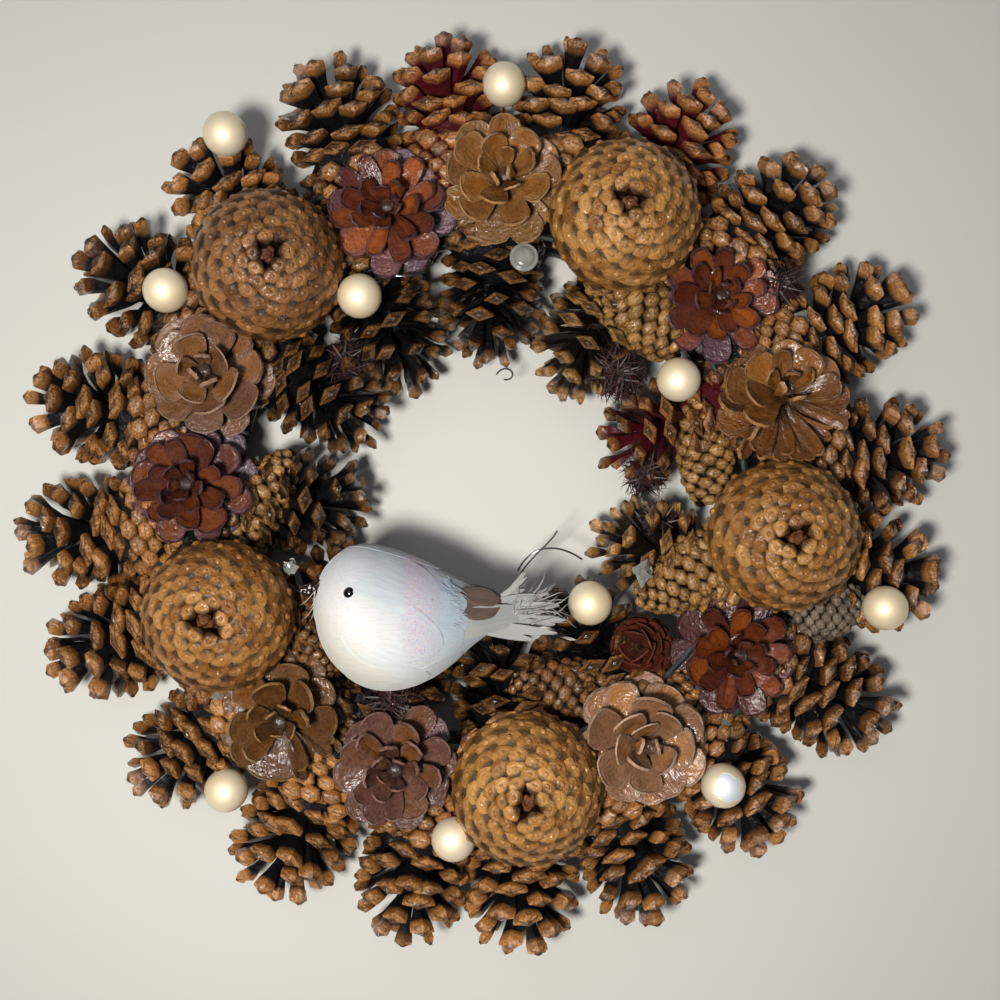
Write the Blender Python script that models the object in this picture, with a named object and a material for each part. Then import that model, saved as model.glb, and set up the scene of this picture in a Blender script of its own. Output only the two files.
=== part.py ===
"""Decorated pinecone wreath, lying on its back with its face up.

A box frame of four wire hoops grips the stalk ends of two rings of open pinecones: the
outer ring points away from the middle and the inner ring points into it.  Closed cones,
cones cut open like flowers, pearl beads and a feathered craft bird lie on top of them.

Lengths are metres.  +Z is the face of the wreath, +X its right and +Y its top.
Bearings are degrees about the middle of the ring, counterclockwise from +X.
"""

import math
import random

import bmesh
import bpy
from mathutils import Matrix, Vector
from mathutils.bvhtree import BVHTree

GAP = 0.0003                        # air between two pieces that touch
UP = Vector((0, 0, 1))

# Wire frame
WIRE_RADIUS = 0.0012
WIRE_SIDES = 6
HOOP_STEPS = 36
INNER_HOOP = 0.096
OUTER_HOOP = 0.124
BACK_HEIGHT = 0.009
FRONT_HEIGHT = 0.033
CLAMP_HEIGHT = (BACK_HEIGHT + FRONT_HEIGHT) / 2
RUNG_SHIFT = 3.0                    # degrees between a post and the rungs beside it

# Ring cones, gripped by the hoops a little way up from their stalk ends
GRIP = 0.012                        # from the stalk end to the hoop
NECK_RADIUS = CLAMP_HEIGHT - BACK_HEIGHT - WIRE_RADIUS - 2 * GAP
OUTER_BEARINGS = (5, 25, 43.5, 61, 78, 95.5, 112, 131, 149, 168,
                  186, 202, 221, 241, 259.5, 275, 292, 310, 329, 348)
OUTER_LENGTH = (0.065, 0.071)       # shortest and longest
OUTER_RADIUS = (0.0188, 0.0198)
INNER_BEARINGS = (19, 56, 88.5, 120, 149.5, 184, 216, 245, 275, 305, 340)
INNER_LENGTH = (0.064, 0.069)
INNER_RADIUS = (0.0158, 0.0166)
INNER_RISE = 3.0                    # degrees that an inner cone's tip lifts
CONE_SIDES = 10
NOTCH = 0.94                        # every second row of scales sits a little deeper

# Cones on the face: kind, bearing, distance from the middle, lean, bearing of the lean
FACE_CONES = (
    ("flower", 17.6, 0.1115, 16, 90),
    ("flower", 39.4, 0.110, 0, 0),
    ("closed", 63.0, 0.110, 0, 0),
    ("flower", 86.6, 0.111, 0, 0),
    ("flower", 109.2, 0.107, 0, 0),
    ("closed", 133.8, 0.111, 10, 0),
    ("flower", 157.2, 0.108, 0, 0),
    ("flower", 179.0, 0.107, 0, 0),
    ("closed", 205.4, 0.105, 0, 0),
    ("flower", 228.6, 0.111, 0, 0),
    ("flower", 252.2, 0.105, 0, 0),
    ("closed", 278.0, 0.108, 0, 0),
    ("flower", 302.0, 0.107, 0, 0),
    ("flower", 326.8, 0.109, 0, 0),
    ("closed", 351.2, 0.108, 0, 0),
)
CLOSED_RADIUS = 0.0242
CLOSED_HEIGHT = 0.034
FLOWER_RADIUS = 0.020
FLOWER_HEIGHT = 0.026
FACE_SIDES = 12

# Profiles run from the stalk end, or the cut underside, as (share of length, share of radius)
OPEN_PROFILE = ((0.03, 0.30), (0.12, 0.54), (0.19, 0.55), (0.34, 0.84), (0.54, 1.0),
                (0.72, 1.0), (0.86, 0.84), (0.95, 0.58))
INNER_PROFILE = ((0.03, 0.36), (0.12, 0.64), (0.19, 0.66), (0.33, 0.90), (0.48, 1.0),
                 (0.66, 0.97), (0.82, 0.76), (0.93, 0.50))
CLOSED_PROFILE = ((0.02, 0.38), (0.18, 0.80), (0.36, 1.0), (0.56, 1.0), (0.74, 0.80),
                  (0.90, 0.46))
FLOWER_PROFILE = ((0.02, 0.34), (0.28, 0.66), (0.54, 0.90), (0.74, 1.0), (0.92, 1.0),
                  (0.92, 0.52))
FLOWER_DISH = 0.74                  # height share of the hollow in a flower's middle

# Pearl beads: bearing and distance from the middle
PEARL_RADIUS = 0.008
PEARL_PLACES = ((126.2, 0.1598), (148.1, 0.1354), (123.0, 0.0827), (87.4, 0.1492),
                (29.6, 0.0805), (312.7, 0.0557), (343.5, 0.150), (308.8, 0.1367),
                (264.8, 0.1268), (229.2, 0.1462))

# Craft bird: stations along X as (x, middle y, half width, half depth)
BIRD_STATIONS = (
    (-0.0590, -0.0400, 0.0050, 0.0045),
    (-0.0568, -0.0406, 0.0132, 0.0116),
    (-0.0518, -0.0417, 0.0196, 0.0172),
    (-0.0438, -0.0428, 0.0244, 0.0214),
    (-0.0345, -0.0449, 0.0250, 0.0221),
    (-0.0223, -0.0455, 0.0218, 0.0194),
    (-0.0108, -0.0446, 0.0150, 0.0136),
    (0.0000, -0.0428, 0.0084, 0.0070),
)
BIRD_SIDES = 14
TAIL_STATIONS = (
    (0.0003, -0.0424, 0.0068, 0.0034),
    (0.0140, -0.0470, 0.0072, 0.0026),
    (0.0290, -0.0478, 0.0030, 0.0014),
)
TAIL_SIDES = 8
BEAK_LENGTH = 0.0065
BEAK_RADIUS = 0.0028
BEAK_SIDE = 0.0055                  # the beak sits off the middle line of the face
BIRD_START_HEIGHT = 0.080


def linear(channel):
    """Turn one sRGB channel from 0 to 1 into linear light."""
    if channel <= 0.04045:
        return channel / 12.92
    return ((channel + 0.055) / 1.055) ** 2.4


def finish(name, hex_colour, roughness, metallic=0.0):
    """Make a Principled material from an sRGB hex colour."""
    material = bpy.data.materials.new(name)
    material.use_nodes = True
    shader = material.node_tree.nodes["Principled BSDF"]
    channels = [int(hex_colour[i:i + 2], 16) / 255 for i in (0, 2, 4)]
    shader.inputs["Base Color"].default_value = [linear(c) for c in channels] + [1.0]
    shader.inputs["Roughness"].default_value = roughness
    shader.inputs["Metallic"].default_value = metallic
    return material


def add_object(name, bm, material, smooth_angle=40):
    """Turn a bmesh into a named object with its faces pointing out."""
    bmesh.ops.recalc_face_normals(bm, faces=bm.faces)
    mesh = bpy.data.meshes.new(name)
    bm.to_mesh(mesh)
    bm.free()
    mesh.shade_smooth()
    mesh.set_sharp_from_angle(angle=math.radians(smooth_angle))
    mesh.materials.append(material)
    item = bpy.data.objects.new(name, mesh)
    bpy.context.scene.collection.objects.link(item)
    return item


def polar(bearing, distance, height=0.0):
    """Point at a bearing and a distance from the middle of the ring."""
    angle = math.radians(bearing)
    return Vector((distance * math.cos(angle), distance * math.sin(angle), height))


# Wire frame

def add_hoop(bm, radius, height):
    """Spin a small circle of wire once around the middle of the ring."""
    turn = Matrix.Rotation(math.pi / 2, 4, "X")
    place = Matrix.Translation((radius, 0, height)) @ turn
    circle = bmesh.ops.create_circle(bm, segments=WIRE_SIDES, radius=WIRE_RADIUS, matrix=place)
    edges = list({edge for vert in circle["verts"] for edge in vert.link_edges})
    bmesh.ops.spin(bm, geom=circle["verts"] + edges, cent=(0, 0, 0), axis=UP,
                   angle=2 * math.pi, steps=HOOP_STEPS, use_merge=True)


def add_cross_wire(bm, start, end):
    """Add one straight wire between two points."""
    run = end - start
    place = Matrix.Translation((start + end) / 2) @ UP.rotation_difference(run).to_matrix().to_4x4()
    bmesh.ops.create_cone(bm, cap_ends=True, segments=WIRE_SIDES, radius1=WIRE_RADIUS,
                          radius2=WIRE_RADIUS, depth=run.length, matrix=place)


def middle_bearings(bearings):
    """Bearings half way between each cone and the next one around the ring."""
    following = bearings[1:] + (bearings[0] + 360,)
    return [(here + there) / 2 for here, there in zip(bearings, following)]


def wire_frame(material):
    """Four hoops joined into one solid by posts and rungs that stand between the cones."""
    hoops = bmesh.new()
    for radius in (INNER_HOOP, OUTER_HOOP):
        for height in (BACK_HEIGHT, FRONT_HEIGHT):
            add_hoop(hoops, radius, height)
    frame = add_object("wire_frame", hoops, material)

    cross = bmesh.new()
    outer_posts = middle_bearings(OUTER_BEARINGS)[::2]
    inner_posts = middle_bearings(INNER_BEARINGS)[::2]
    for radius, posts in ((OUTER_HOOP, outer_posts), (INNER_HOOP, inner_posts)):
        for bearing in posts:
            add_cross_wire(cross, polar(bearing, radius, BACK_HEIGHT),
                           polar(bearing, radius, FRONT_HEIGHT))
    for bearing in outer_posts:
        for height in (BACK_HEIGHT, FRONT_HEIGHT):
            add_cross_wire(cross, polar(bearing + RUNG_SHIFT, INNER_HOOP, height),
                           polar(bearing + RUNG_SHIFT, OUTER_HOOP, height))
    guide = add_object("cross_wires", cross, material)
    guide.hide_render = True
    guide.display_type = "WIRE"

    union = frame.modifiers.new("join_cross_wires", "BOOLEAN")
    union.operation = "UNION"
    union.object = guide
    return frame


# Cones

def cone_solid(name, material, start, direction, length, radius, profile, sides,
               neck=None, end_share=1.0):
    """Closed faceted cone whose rows of scales are staggered by half a scale.

    The first corner of each unstaggered row points down, so that a cone lies on it.
    A neck caps the radius over the stretch that the hoops grip.
    """
    direction = direction.normalized()
    sideways = Vector((1, 0, 0)) if abs(direction.z) > 0.7 else -UP
    first = (sideways - direction * sideways.dot(direction)).normalized()
    second = direction.cross(first)
    bm = bmesh.new()
    rows = []
    for index, (along, share) in enumerate(profile):
        staggered = index % 2
        row_radius = radius * share * (NOTCH if staggered else 1.0)
        if neck and along * length < 1.2 * GRIP:
            row_radius = min(row_radius, neck)
        middle = start + direction * (length * along)
        row = []
        for side in range(sides):
            angle = 2 * math.pi * (side + 0.5 * staggered) / sides
            spoke = first * math.cos(angle) + second * math.sin(angle)
            row.append(bm.verts.new(middle + spoke * row_radius))
        rows.append(row)
    stalk = bm.verts.new(start)
    tip = bm.verts.new(start + direction * (length * end_share))
    for side in range(sides):
        after = (side + 1) % sides
        bm.faces.new((stalk, rows[0][after], rows[0][side]))
        bm.faces.new((tip, rows[-1][side], rows[-1][after]))
        for index in range(len(rows) - 1):
            low = rows[index]
            high = rows[index + 1]
            if index % 2 == 0:
                bm.faces.new((low[side], low[after], high[side]))
                bm.faces.new((high[side], low[after], high[after]))
            else:
                bm.faces.new((low[side], high[after], high[side]))
                bm.faces.new((low[side], low[after], high[after]))
    return add_object(name, bm, material, smooth_angle=25)


def outer_cones(material, rng):
    """Ring of open cones that point away from the middle and carry the wreath."""
    cones = []
    for number, bearing in enumerate(OUTER_BEARINGS, 1):
        length = rng.uniform(*OUTER_LENGTH)
        radius = rng.uniform(*OUTER_RADIUS)
        clamp = polar(bearing, OUTER_HOOP, CLAMP_HEIGHT)
        # The axis droops so that the widest row of scales comes down to the table.
        to_widest = OPEN_PROFILE[4][0] * length - GRIP
        direction = polar(bearing, to_widest, radius - CLAMP_HEIGHT).normalized()
        cones.append(cone_solid(f"outer_cone_{number:02d}", material, clamp - direction * GRIP,
                                direction, length, radius, OPEN_PROFILE, CONE_SIDES,
                                neck=NECK_RADIUS))
    return cones


def inner_cones(material, rng):
    """Ring of smaller open cones that point into the middle, tips a little raised."""
    cones = []
    for number, bearing in enumerate(INNER_BEARINGS, 1):
        length = rng.uniform(*INNER_LENGTH)
        radius = rng.uniform(*INNER_RADIUS)
        clamp = polar(bearing, INNER_HOOP, CLAMP_HEIGHT)
        direction = polar(bearing, -1, math.tan(math.radians(INNER_RISE))).normalized()
        cones.append(cone_solid(f"inner_cone_{number:02d}", material, clamp - direction * GRIP,
                                direction, length, radius, INNER_PROFILE, CONE_SIDES,
                                neck=NECK_RADIUS))
    return cones


def face_cones(closed_material, flower_material):
    """Closed cones, stalk end up, and cut cones opened like flowers, high above their seats."""
    sizes = {
        "closed": (closed_material, CLOSED_HEIGHT, CLOSED_RADIUS, CLOSED_PROFILE, 1.0),
        "flower": (flower_material, FLOWER_HEIGHT, FLOWER_RADIUS, FLOWER_PROFILE, FLOWER_DISH),
    }
    counts = {"closed": 0, "flower": 0}
    cones = []
    for kind, bearing, distance, lean, lean_bearing in FACE_CONES:
        counts[kind] += 1
        material, height, radius, profile, end_share = sizes[kind]
        direction = polar(lean_bearing, math.sin(math.radians(lean)), math.cos(math.radians(lean)))
        # A leaning cone is set back by half its height, so that its middle keeps its place.
        start = polar(bearing, distance, 2 * FRONT_HEIGHT) - direction * (height / 2)
        cones.append(cone_solid(f"{kind}_cone_{counts[kind]:02d}", material, start, direction,
                                height, radius, profile, FACE_SIDES, end_share=end_share))
    return cones


# Beads and bird

def pearl(name, material, bearing, distance):
    """Round bead, held above its seat."""
    bm = bmesh.new()
    bmesh.ops.create_uvsphere(bm, u_segments=12, v_segments=8, radius=PEARL_RADIUS,
                              matrix=Matrix.Translation(polar(bearing, distance, 2 * FRONT_HEIGHT)))
    return add_object(name, bm, material)


def lofted_solid(name, material, stations, sides, height):
    """Skin elliptical stations along X and close both ends with flat caps."""
    bm = bmesh.new()
    rows = []
    for x, y, half_width, half_depth in stations:
        row = []
        for side in range(sides):
            angle = 2 * math.pi * side / sides
            row.append(bm.verts.new((x, y + half_width * math.cos(angle),
                                     height + half_depth * math.sin(angle))))
        rows.append(row)
    for low, high in zip(rows, rows[1:]):
        for side in range(sides):
            after = (side + 1) % sides
            bm.faces.new((low[side], low[after], high[after], high[side]))
    bm.faces.new(rows[0])
    bm.faces.new(rows[-1])
    return add_object(name, bm, material)


def craft_bird(feather, quill, beak_material):
    """Feathered body, tail plume and beak, each 0.3 mm from the body."""
    body = lofted_solid("bird_body", feather, BIRD_STATIONS, BIRD_SIDES, BIRD_START_HEIGHT)
    tail = lofted_solid("bird_tail", quill, TAIL_STATIONS, TAIL_SIDES, BIRD_START_HEIGHT)
    face_x, face_y = BIRD_STATIONS[0][:2]
    middle = Vector((face_x - GAP - BEAK_LENGTH / 2, face_y + BEAK_SIDE, BIRD_START_HEIGHT))
    point_left = Matrix.Rotation(-math.pi / 2, 4, "Y")
    bm = bmesh.new()
    bmesh.ops.create_cone(bm, cap_ends=True, segments=TAIL_SIDES, radius1=BEAK_RADIUS,
                          radius2=BEAK_RADIUS / 6, depth=BEAK_LENGTH,
                          matrix=Matrix.Translation(middle) @ point_left)
    beak = add_object("bird_beak", bm, beak_material)
    return [body, tail, beak]


# Resting one piece on another

def world_tree(items, shift=0.0):
    """Search tree of the items' triangles, moved up by a shift."""
    points = []
    faces = []
    depsgraph = bpy.context.evaluated_depsgraph_get()
    for item in items:
        mesh = item.evaluated_get(depsgraph).to_mesh()
        mesh.calc_loop_triangles()
        first = len(points)
        for vert in mesh.vertices:
            points.append(item.matrix_world @ vert.co + UP * shift)
        for triangle in mesh.loop_triangles:
            faces.append([first + index for index in triangle.vertices])
    return BVHTree.FromPolygons(points, faces)


def lower_on_to(pieces, carriers, step=0.0005, fine=0.00002):
    """Lower the pieces together until they touch the carriers, then leave a small gap."""
    seat = world_tree(carriers)
    drop = 0.0
    while not world_tree(pieces, -drop).overlap(seat) and drop < 2 * FRONT_HEIGHT:
        drop += step
    while world_tree(pieces, -drop).overlap(seat):
        drop -= fine
    for piece in pieces:
        piece.data.transform(Matrix.Translation((0, 0, GAP - drop)))


def centre_over_origin(items):
    """Put the middle of the wreath's box over the origin and its lowest point at zero."""
    corners = [vert.co for item in items for vert in item.data.vertices]
    low = Vector([min(corner[axis] for corner in corners) for axis in range(3)])
    high = Vector([max(corner[axis] for corner in corners) for axis in range(3)])
    middle = (low + high) / 2
    for item in items:
        item.data.transform(Matrix.Translation((-middle.x, -middle.y, -low.z)))


def main():
    for item in list(bpy.data.objects):
        bpy.data.objects.remove(item)
    rng = random.Random(7)

    frame = wire_frame(finish("coated_wire", "1E2621", 0.45))
    guide = bpy.data.objects["cross_wires"]
    scale = finish("open_cone_scale", "8B5A33", 0.4)
    ring = outer_cones(scale, rng) + inner_cones(scale, rng)
    placed = [frame] + ring

    face = face_cones(finish("closed_cone_scale", "AD7C45", 0.4),
                      finish("cut_cone_scale", "8A5230", 0.3))
    for cone in face:
        lower_on_to([cone], placed)
    placed += face

    bead = finish("pearl_coat", "EFE2BD", 0.25)
    for number, (bearing, distance) in enumerate(PEARL_PLACES, 1):
        item = pearl(f"pearl_{number:02d}", bead, bearing, distance)
        lower_on_to([item], placed)
        placed.append(item)

    bird = craft_bird(finish("white_feather", "EDEFEE", 0.8), finish("tail_feather", "DDE0DE", 0.8),
                      finish("beak_plastic", "2A211F", 0.35))
    lower_on_to(bird, placed)
    centre_over_origin(placed + bird + [guide])


main()
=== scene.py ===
# %% [markdown]
# # A pinecone wreath, scale by scale
# A wreath like this is glued up from three sorts of pinecone on a ring of wire. The packed
# model already knows where every cone, bead and feathered bird sits, but each cone there is
# a plain faceted plug. This notebook grows the real scales on each of them.
#
# The frame is loaded first and never moved, so every scale can be placed from it.

# %% Load the frame
import math
import random

import bmesh
import bpy
from mathutils import Matrix, Vector


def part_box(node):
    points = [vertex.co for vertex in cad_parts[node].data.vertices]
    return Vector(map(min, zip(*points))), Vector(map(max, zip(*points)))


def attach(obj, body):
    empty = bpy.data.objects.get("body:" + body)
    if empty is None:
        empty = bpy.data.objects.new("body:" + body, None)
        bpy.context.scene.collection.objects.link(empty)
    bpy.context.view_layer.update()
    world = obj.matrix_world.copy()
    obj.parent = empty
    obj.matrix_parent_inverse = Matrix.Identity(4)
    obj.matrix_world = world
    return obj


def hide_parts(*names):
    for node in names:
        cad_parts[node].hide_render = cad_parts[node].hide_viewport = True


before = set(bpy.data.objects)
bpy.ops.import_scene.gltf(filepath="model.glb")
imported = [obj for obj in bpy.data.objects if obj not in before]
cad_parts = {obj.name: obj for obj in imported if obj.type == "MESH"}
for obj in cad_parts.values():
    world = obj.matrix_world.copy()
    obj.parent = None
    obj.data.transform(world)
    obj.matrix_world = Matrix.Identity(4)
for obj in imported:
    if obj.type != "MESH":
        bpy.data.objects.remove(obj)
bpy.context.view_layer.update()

MM = 0.001
UP = Vector((0, 0, 1))
rng = random.Random(11)

ring_low, ring_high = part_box("wire_frame")
ring_middle = (ring_low + ring_high) / 2
print("nodes:", len(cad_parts), "ring middle:", [round(c, 4) for c in ring_middle])

# %% [markdown]
# ## Where each piece stands
# Every cone plug in the frame was turned about its own axis, so its corners spread evenly
# around that axis. The direction in which the corners spread differently from the other two
# is the axis itself. Reading it back from the corners saves repeating any bearing or lean.

# %% Read an axis back from a plug
GOLDEN_ANGLE = math.pi * (3 - math.sqrt(5))


def corners(node):
    """Corner points of a CAD solid, each one once and always in the same order."""
    points = {tuple(round(c, 6) for c in v.co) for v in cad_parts[node].data.vertices}
    return [Vector(p) for p in sorted(points)]


def axis_of(node, towards):
    """Start, unit axis, length and widest radius of a cone plug, pointing along a guess."""
    points = corners(node)
    middle = sum(points, Vector()) / len(points)
    axis = towards.normalized()
    for _ in range(40):
        # Power steps on the spread of the corners, with the even part taken away.
        spread = [p - middle for p in points]
        around = sum(d.length_squared - d.dot(axis) ** 2 for d in spread) / 2
        pull = sum((d * d.dot(axis) for d in spread), Vector()) - axis * around
        sign = 1 if pull.dot(axis) > 0 else -1
        axis = (axis * 0.5 + pull.normalized() * sign * 0.5).normalized()
    along = [(p - middle).dot(axis) for p in points]
    radius = max((p - middle - axis * (p - middle).dot(axis)).length for p in points)
    return middle + axis * min(along), axis, max(along) - min(along), radius


def middle_of(node):
    """Middle of a node's box."""
    low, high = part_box(node)
    return (low + high) / 2


def outward(node):
    """Level direction from the middle of the ring to the node."""
    away = middle_of(node) - ring_middle
    return Vector((away.x, away.y, 0)).normalized()


def from_middle(across, along, height):
    """Point in millimetres from the middle of the ring, its height above the floor."""
    return Vector((ring_middle.x, ring_middle.y, 0)) + Vector((across, along, height)) * MM


for name, guess in (("outer_cone_01", outward("outer_cone_01")), ("closed_cone_02", UP)):
    start, axis, length, radius = axis_of(name, guess)
    print(name, [round(c, 3) for c in axis], round(length / MM, 1), round(radius / MM, 1))

# %% [markdown]
# ## Colours and node helper
# Paint and bark colours are easiest to think of as the hex codes of a colour card. Blender
# wants them as linear light, so one function turns them. A second one adds a node, sets it
# and wires it, and every material below is built with it. Where it adds a colour ramp, the
# stops are plain greys, because ramps only serve as masks here.

# %% Colour and node helpers
FACTOR, COLOUR_A, COLOUR_B = 0, 6, 7    # sockets of the colour Mix node


def colour(hex_code):
    """Linear RGBA of an sRGB hex code."""
    parts = [int(hex_code[i:i + 2], 16) / 255 for i in (0, 2, 4)]
    return [c / 12.92 if c <= 0.04045 else ((c + 0.055) / 1.055) ** 2.4 for c in parts] + [1.0]


def fill(tree, socket, value):
    """Link a socket to another one, or set it to a plain value or a hex colour."""
    if isinstance(value, bpy.types.NodeSocket):
        tree.links.new(value, socket)
    else:
        socket.default_value = colour(value) if isinstance(value, str) else value


def add_node(tree, kind, inputs=(), take=None, stops=(), **settings):
    """Add a shader node, set it up and fill its inputs; give back an output.

    Inputs are a list in the order of the sockets, or a dictionary by name or number. The
    output is the first one in use, unless take names another one or several.
    """
    made = tree.nodes.new("ShaderNode" + kind)
    for key, value in settings.items():
        setattr(made, key, value)
    for index, (at, grey) in enumerate(stops):
        ramp = made.color_ramp.elements
        stop = ramp[index] if index < 2 else ramp.new(at)
        stop.position = at
        stop.color = (grey, grey, grey, 1)
    for key, value in inputs.items() if isinstance(inputs, dict) else enumerate(inputs):
        fill(tree, made.inputs[key], value)
    if isinstance(take, tuple):
        return [made.outputs[key] for key in take]
    return made.outputs[take] if take else next(s for s in made.outputs if s.enabled)


def feed(material, **inputs):
    """Set or link sockets of a material's Principled shader."""
    tree = material.node_tree
    for key, value in inputs.items():
        name = key.replace("_", " ").title().replace("Ior", "IOR")
        fill(tree, tree.nodes["Principled BSDF"].inputs[name], value)


def new_material(name, **settings):
    """Material with one Principled shader whose uniform values are set on its own sockets."""
    made = bpy.data.materials.new(name)
    made.use_nodes = True
    feed(made, **settings)
    return made, made.node_tree


print("mid grey in linear light:", round(colour("808080")[0], 3))

# %% [markdown]
# ## Modelling by hand, in code
# Each new shape starts as a primitive and is worked in edit mode, as it would be with the
# mouse. An operator acts on whatever is selected, so these helpers let go of everything
# first and then pick faces or points by where they lie.

# %% Select, edit and start a piece
def deselect():
    """Leave edit mode and let go of everything."""
    if bpy.context.object and bpy.context.object.mode != "OBJECT":
        bpy.ops.object.mode_set(mode="OBJECT")
    bpy.ops.object.select_all(action="DESELECT")


def select(piece):
    """Select one piece and nothing else."""
    deselect()
    bpy.context.view_layer.objects.active = piece
    piece.select_set(True)


def edit(piece):
    """Go into edit mode on one piece, in face mode, with nothing selected."""
    select(piece)
    bpy.ops.object.mode_set(mode="EDIT")
    bpy.ops.mesh.select_mode(type="FACE")
    bpy.ops.mesh.select_all(action="DESELECT")


def start_piece(name, primitive, **settings):
    """Add a primitive, put its place into its mesh, and open it in edit mode."""
    deselect()
    primitive(**settings)
    piece = bpy.context.object
    piece.name = name
    bpy.ops.object.transform_apply(location=True, rotation=True, scale=True)
    edit(piece)
    return piece


# %% Pick faces and shift points
def pick(test):
    """Select the faces of the edited mesh that pass a test."""
    bpy.ops.mesh.select_mode(type="FACE")
    bm = bmesh.from_edit_mesh(bpy.context.edit_object.data)
    for face in bm.faces:
        face.select_set(bool(test(face)))
    bm.select_flush_mode()
    bmesh.update_edit_mesh(bpy.context.edit_object.data)


def shift(test, move=None, resize=None, about=None):
    """Select the points of the edited mesh that pass a test, then resize and move them."""
    bpy.ops.mesh.select_mode(type="VERT")
    bm = bmesh.from_edit_mesh(bpy.context.edit_object.data)
    for point in bm.verts:
        point.select_set(bool(test(point.co)))
    bm.select_flush_mode()
    bmesh.update_edit_mesh(bpy.context.edit_object.data)
    if resize:
        pivot = {"center_override": about} if about else {}
        bpy.ops.transform.resize(value=resize, **pivot)
    if move:
        bpy.ops.transform.translate(value=move)


# %% Extrude, finish, measure and store a place
def grow_end(move, resize):
    """Extrude the selected end face by a move in millimetres, then resize it."""
    bpy.ops.mesh.extrude_region_move(TRANSFORM_OT_translate={"value": Vector(move) * MM})
    bpy.ops.transform.resize(value=resize)


def apply_modifier(piece, kind, **settings):
    """Add a modifier to a piece and apply it."""
    select(piece)
    made = piece.modifiers.new(kind, kind)
    for key, value in settings.items():
        setattr(made, key, value)
    bpy.ops.object.modifier_apply(modifier=made.name)


END_FROM, END_SPAN = 0.72, 0.21     # where a scale's end begins along it, and how far it goes


def store_place(piece, half_width, length, half_height, end_on=False):
    """Leave edit mode and write on each point how far across, along and up it lies.

    A scale that only shows its end has its height counted as the last stretch of its length.
    """
    deselect()
    attribute = piece.data.attributes.new("place", "FLOAT_VECTOR", "POINT")
    for point, value in zip(piece.data.vertices, attribute.data):
        across, along, up = point.co.x / half_width, point.co.y / length, point.co.z / half_height
        value.vector = (across, END_FROM + END_SPAN * up, along) if end_on else (across, along, up)
    for name in ("tone", "age"):
        piece.data.attributes.new(name, "FLOAT", "POINT")


def measure(piece):
    """Print how many faces a piece has and its size in millimetres."""
    print(piece.name, len(piece.data.polygons), "faces", [round(c / MM, 1) for c in piece.dimensions])


print("let go of", len(bpy.context.selected_objects), "pieces that were selected on loading")
deselect()

# %% [markdown]
# ## The studio
# The wreath lies on a pale floor and the camera hangs over it, a little off the middle, at
# arm's length. A lens of about 41 mm at that distance makes the domed cones lean outwards.
# One key light close beside the camera, a little to its left, gives each varnished scale a
# small crisp highlight, and a wide panel overhead keeps the shadows soft.

# %% Camera, floor and lights
CAMERA_PLACE = (5.3, -3.8, 452)     # millimetres from the middle of the ring, and above the floor
LENS = 40.9                         # millimetres, like the sensor
SENSOR = 36
FLOOR_SIZE = 3.0                    # metres

camera = bpy.data.objects.new("camera", bpy.data.cameras.new("camera"))
camera.data.lens = LENS
camera.data.sensor_width = SENSOR
camera.location = from_middle(*CAMERA_PLACE)
bpy.context.scene.collection.objects.link(camera)
bpy.context.scene.camera = camera


def add_light(name, offset, size, watts, hex_code):
    """Square area light that looks at the middle of the wreath, an offset in metres away."""
    lamp = bpy.data.objects.new(name, bpy.data.lights.new(name, "AREA"))
    lamp.data.size = size
    lamp.data.energy = watts
    lamp.data.color = colour(hex_code)[:3]
    lamp.location = ring_middle + Vector(offset)
    lamp.rotation_euler = (-Vector(offset)).to_track_quat("-Z", "Y").to_euler()
    bpy.context.scene.collection.objects.link(lamp)


add_light("key_light", (-0.11, -0.08, 0.54), 0.08, 3.85, "FFFAF4")
add_light("fill_panel", (-0.25, 0.45, 1.1), 1.0, 2.6, "F4F6FF")

# Matt plaster mirrors nothing; its faint clouds are a third of a metre wide
deselect()
bpy.ops.mesh.primitive_plane_add(size=FLOOR_SIZE)
floor = bpy.context.object
floor.name = "floor"
plaster, tree = new_material("pale_matt_plaster", roughness=0.85)
spot = add_node(tree, "TexCoord", take="Object")
cloud = add_node(tree, "TexNoise", {"Vector": spot, "Scale": 3.0})
feed(plaster, base_color=add_node(tree, "Mix", {FACTOR: cloud, COLOUR_A: "C4C4BE", COLOUR_B: "CECEC8"},
                                  data_type="RGBA"))
floor.data.materials.append(plaster)

world = bpy.data.worlds.new("studio")
world.use_nodes = True
background = world.node_tree.nodes["Background"]
background.inputs["Color"].default_value = (0.9, 0.95, 1.0, 1)
background.inputs["Strength"].default_value = 0.06
bpy.context.scene.world = world
bpy.context.scene.view_settings.view_transform = "Standard"
print("camera", [round(c, 3) for c in camera.location], "floor", FLOOR_SIZE, "m")

# %% [markdown]
# ## Varnished pine scales
# A pine scale is lignified bark: a dark strap whose thick end, the apophysis, is brown and
# ends in a small knob, the umbo. This wreath was sprayed with clear varnish, so the shader
# is rough bark under a glossy coat.
#
# Every scale carries three numbers with it, stored on its points: how far across, along and
# up the scale a point lies. The colour follows those, so that it stays right on each of the
# hundreds of copies. A fourth number, the tone, differs from scale to scale.

# %% Varnished scale material
GRAIN = 1 / (0.9 * MM)              # bark grain about a millimetre wide
MOTTLE = 1 / (7 * MM)               # broad patches of darker and lighter bark


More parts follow.
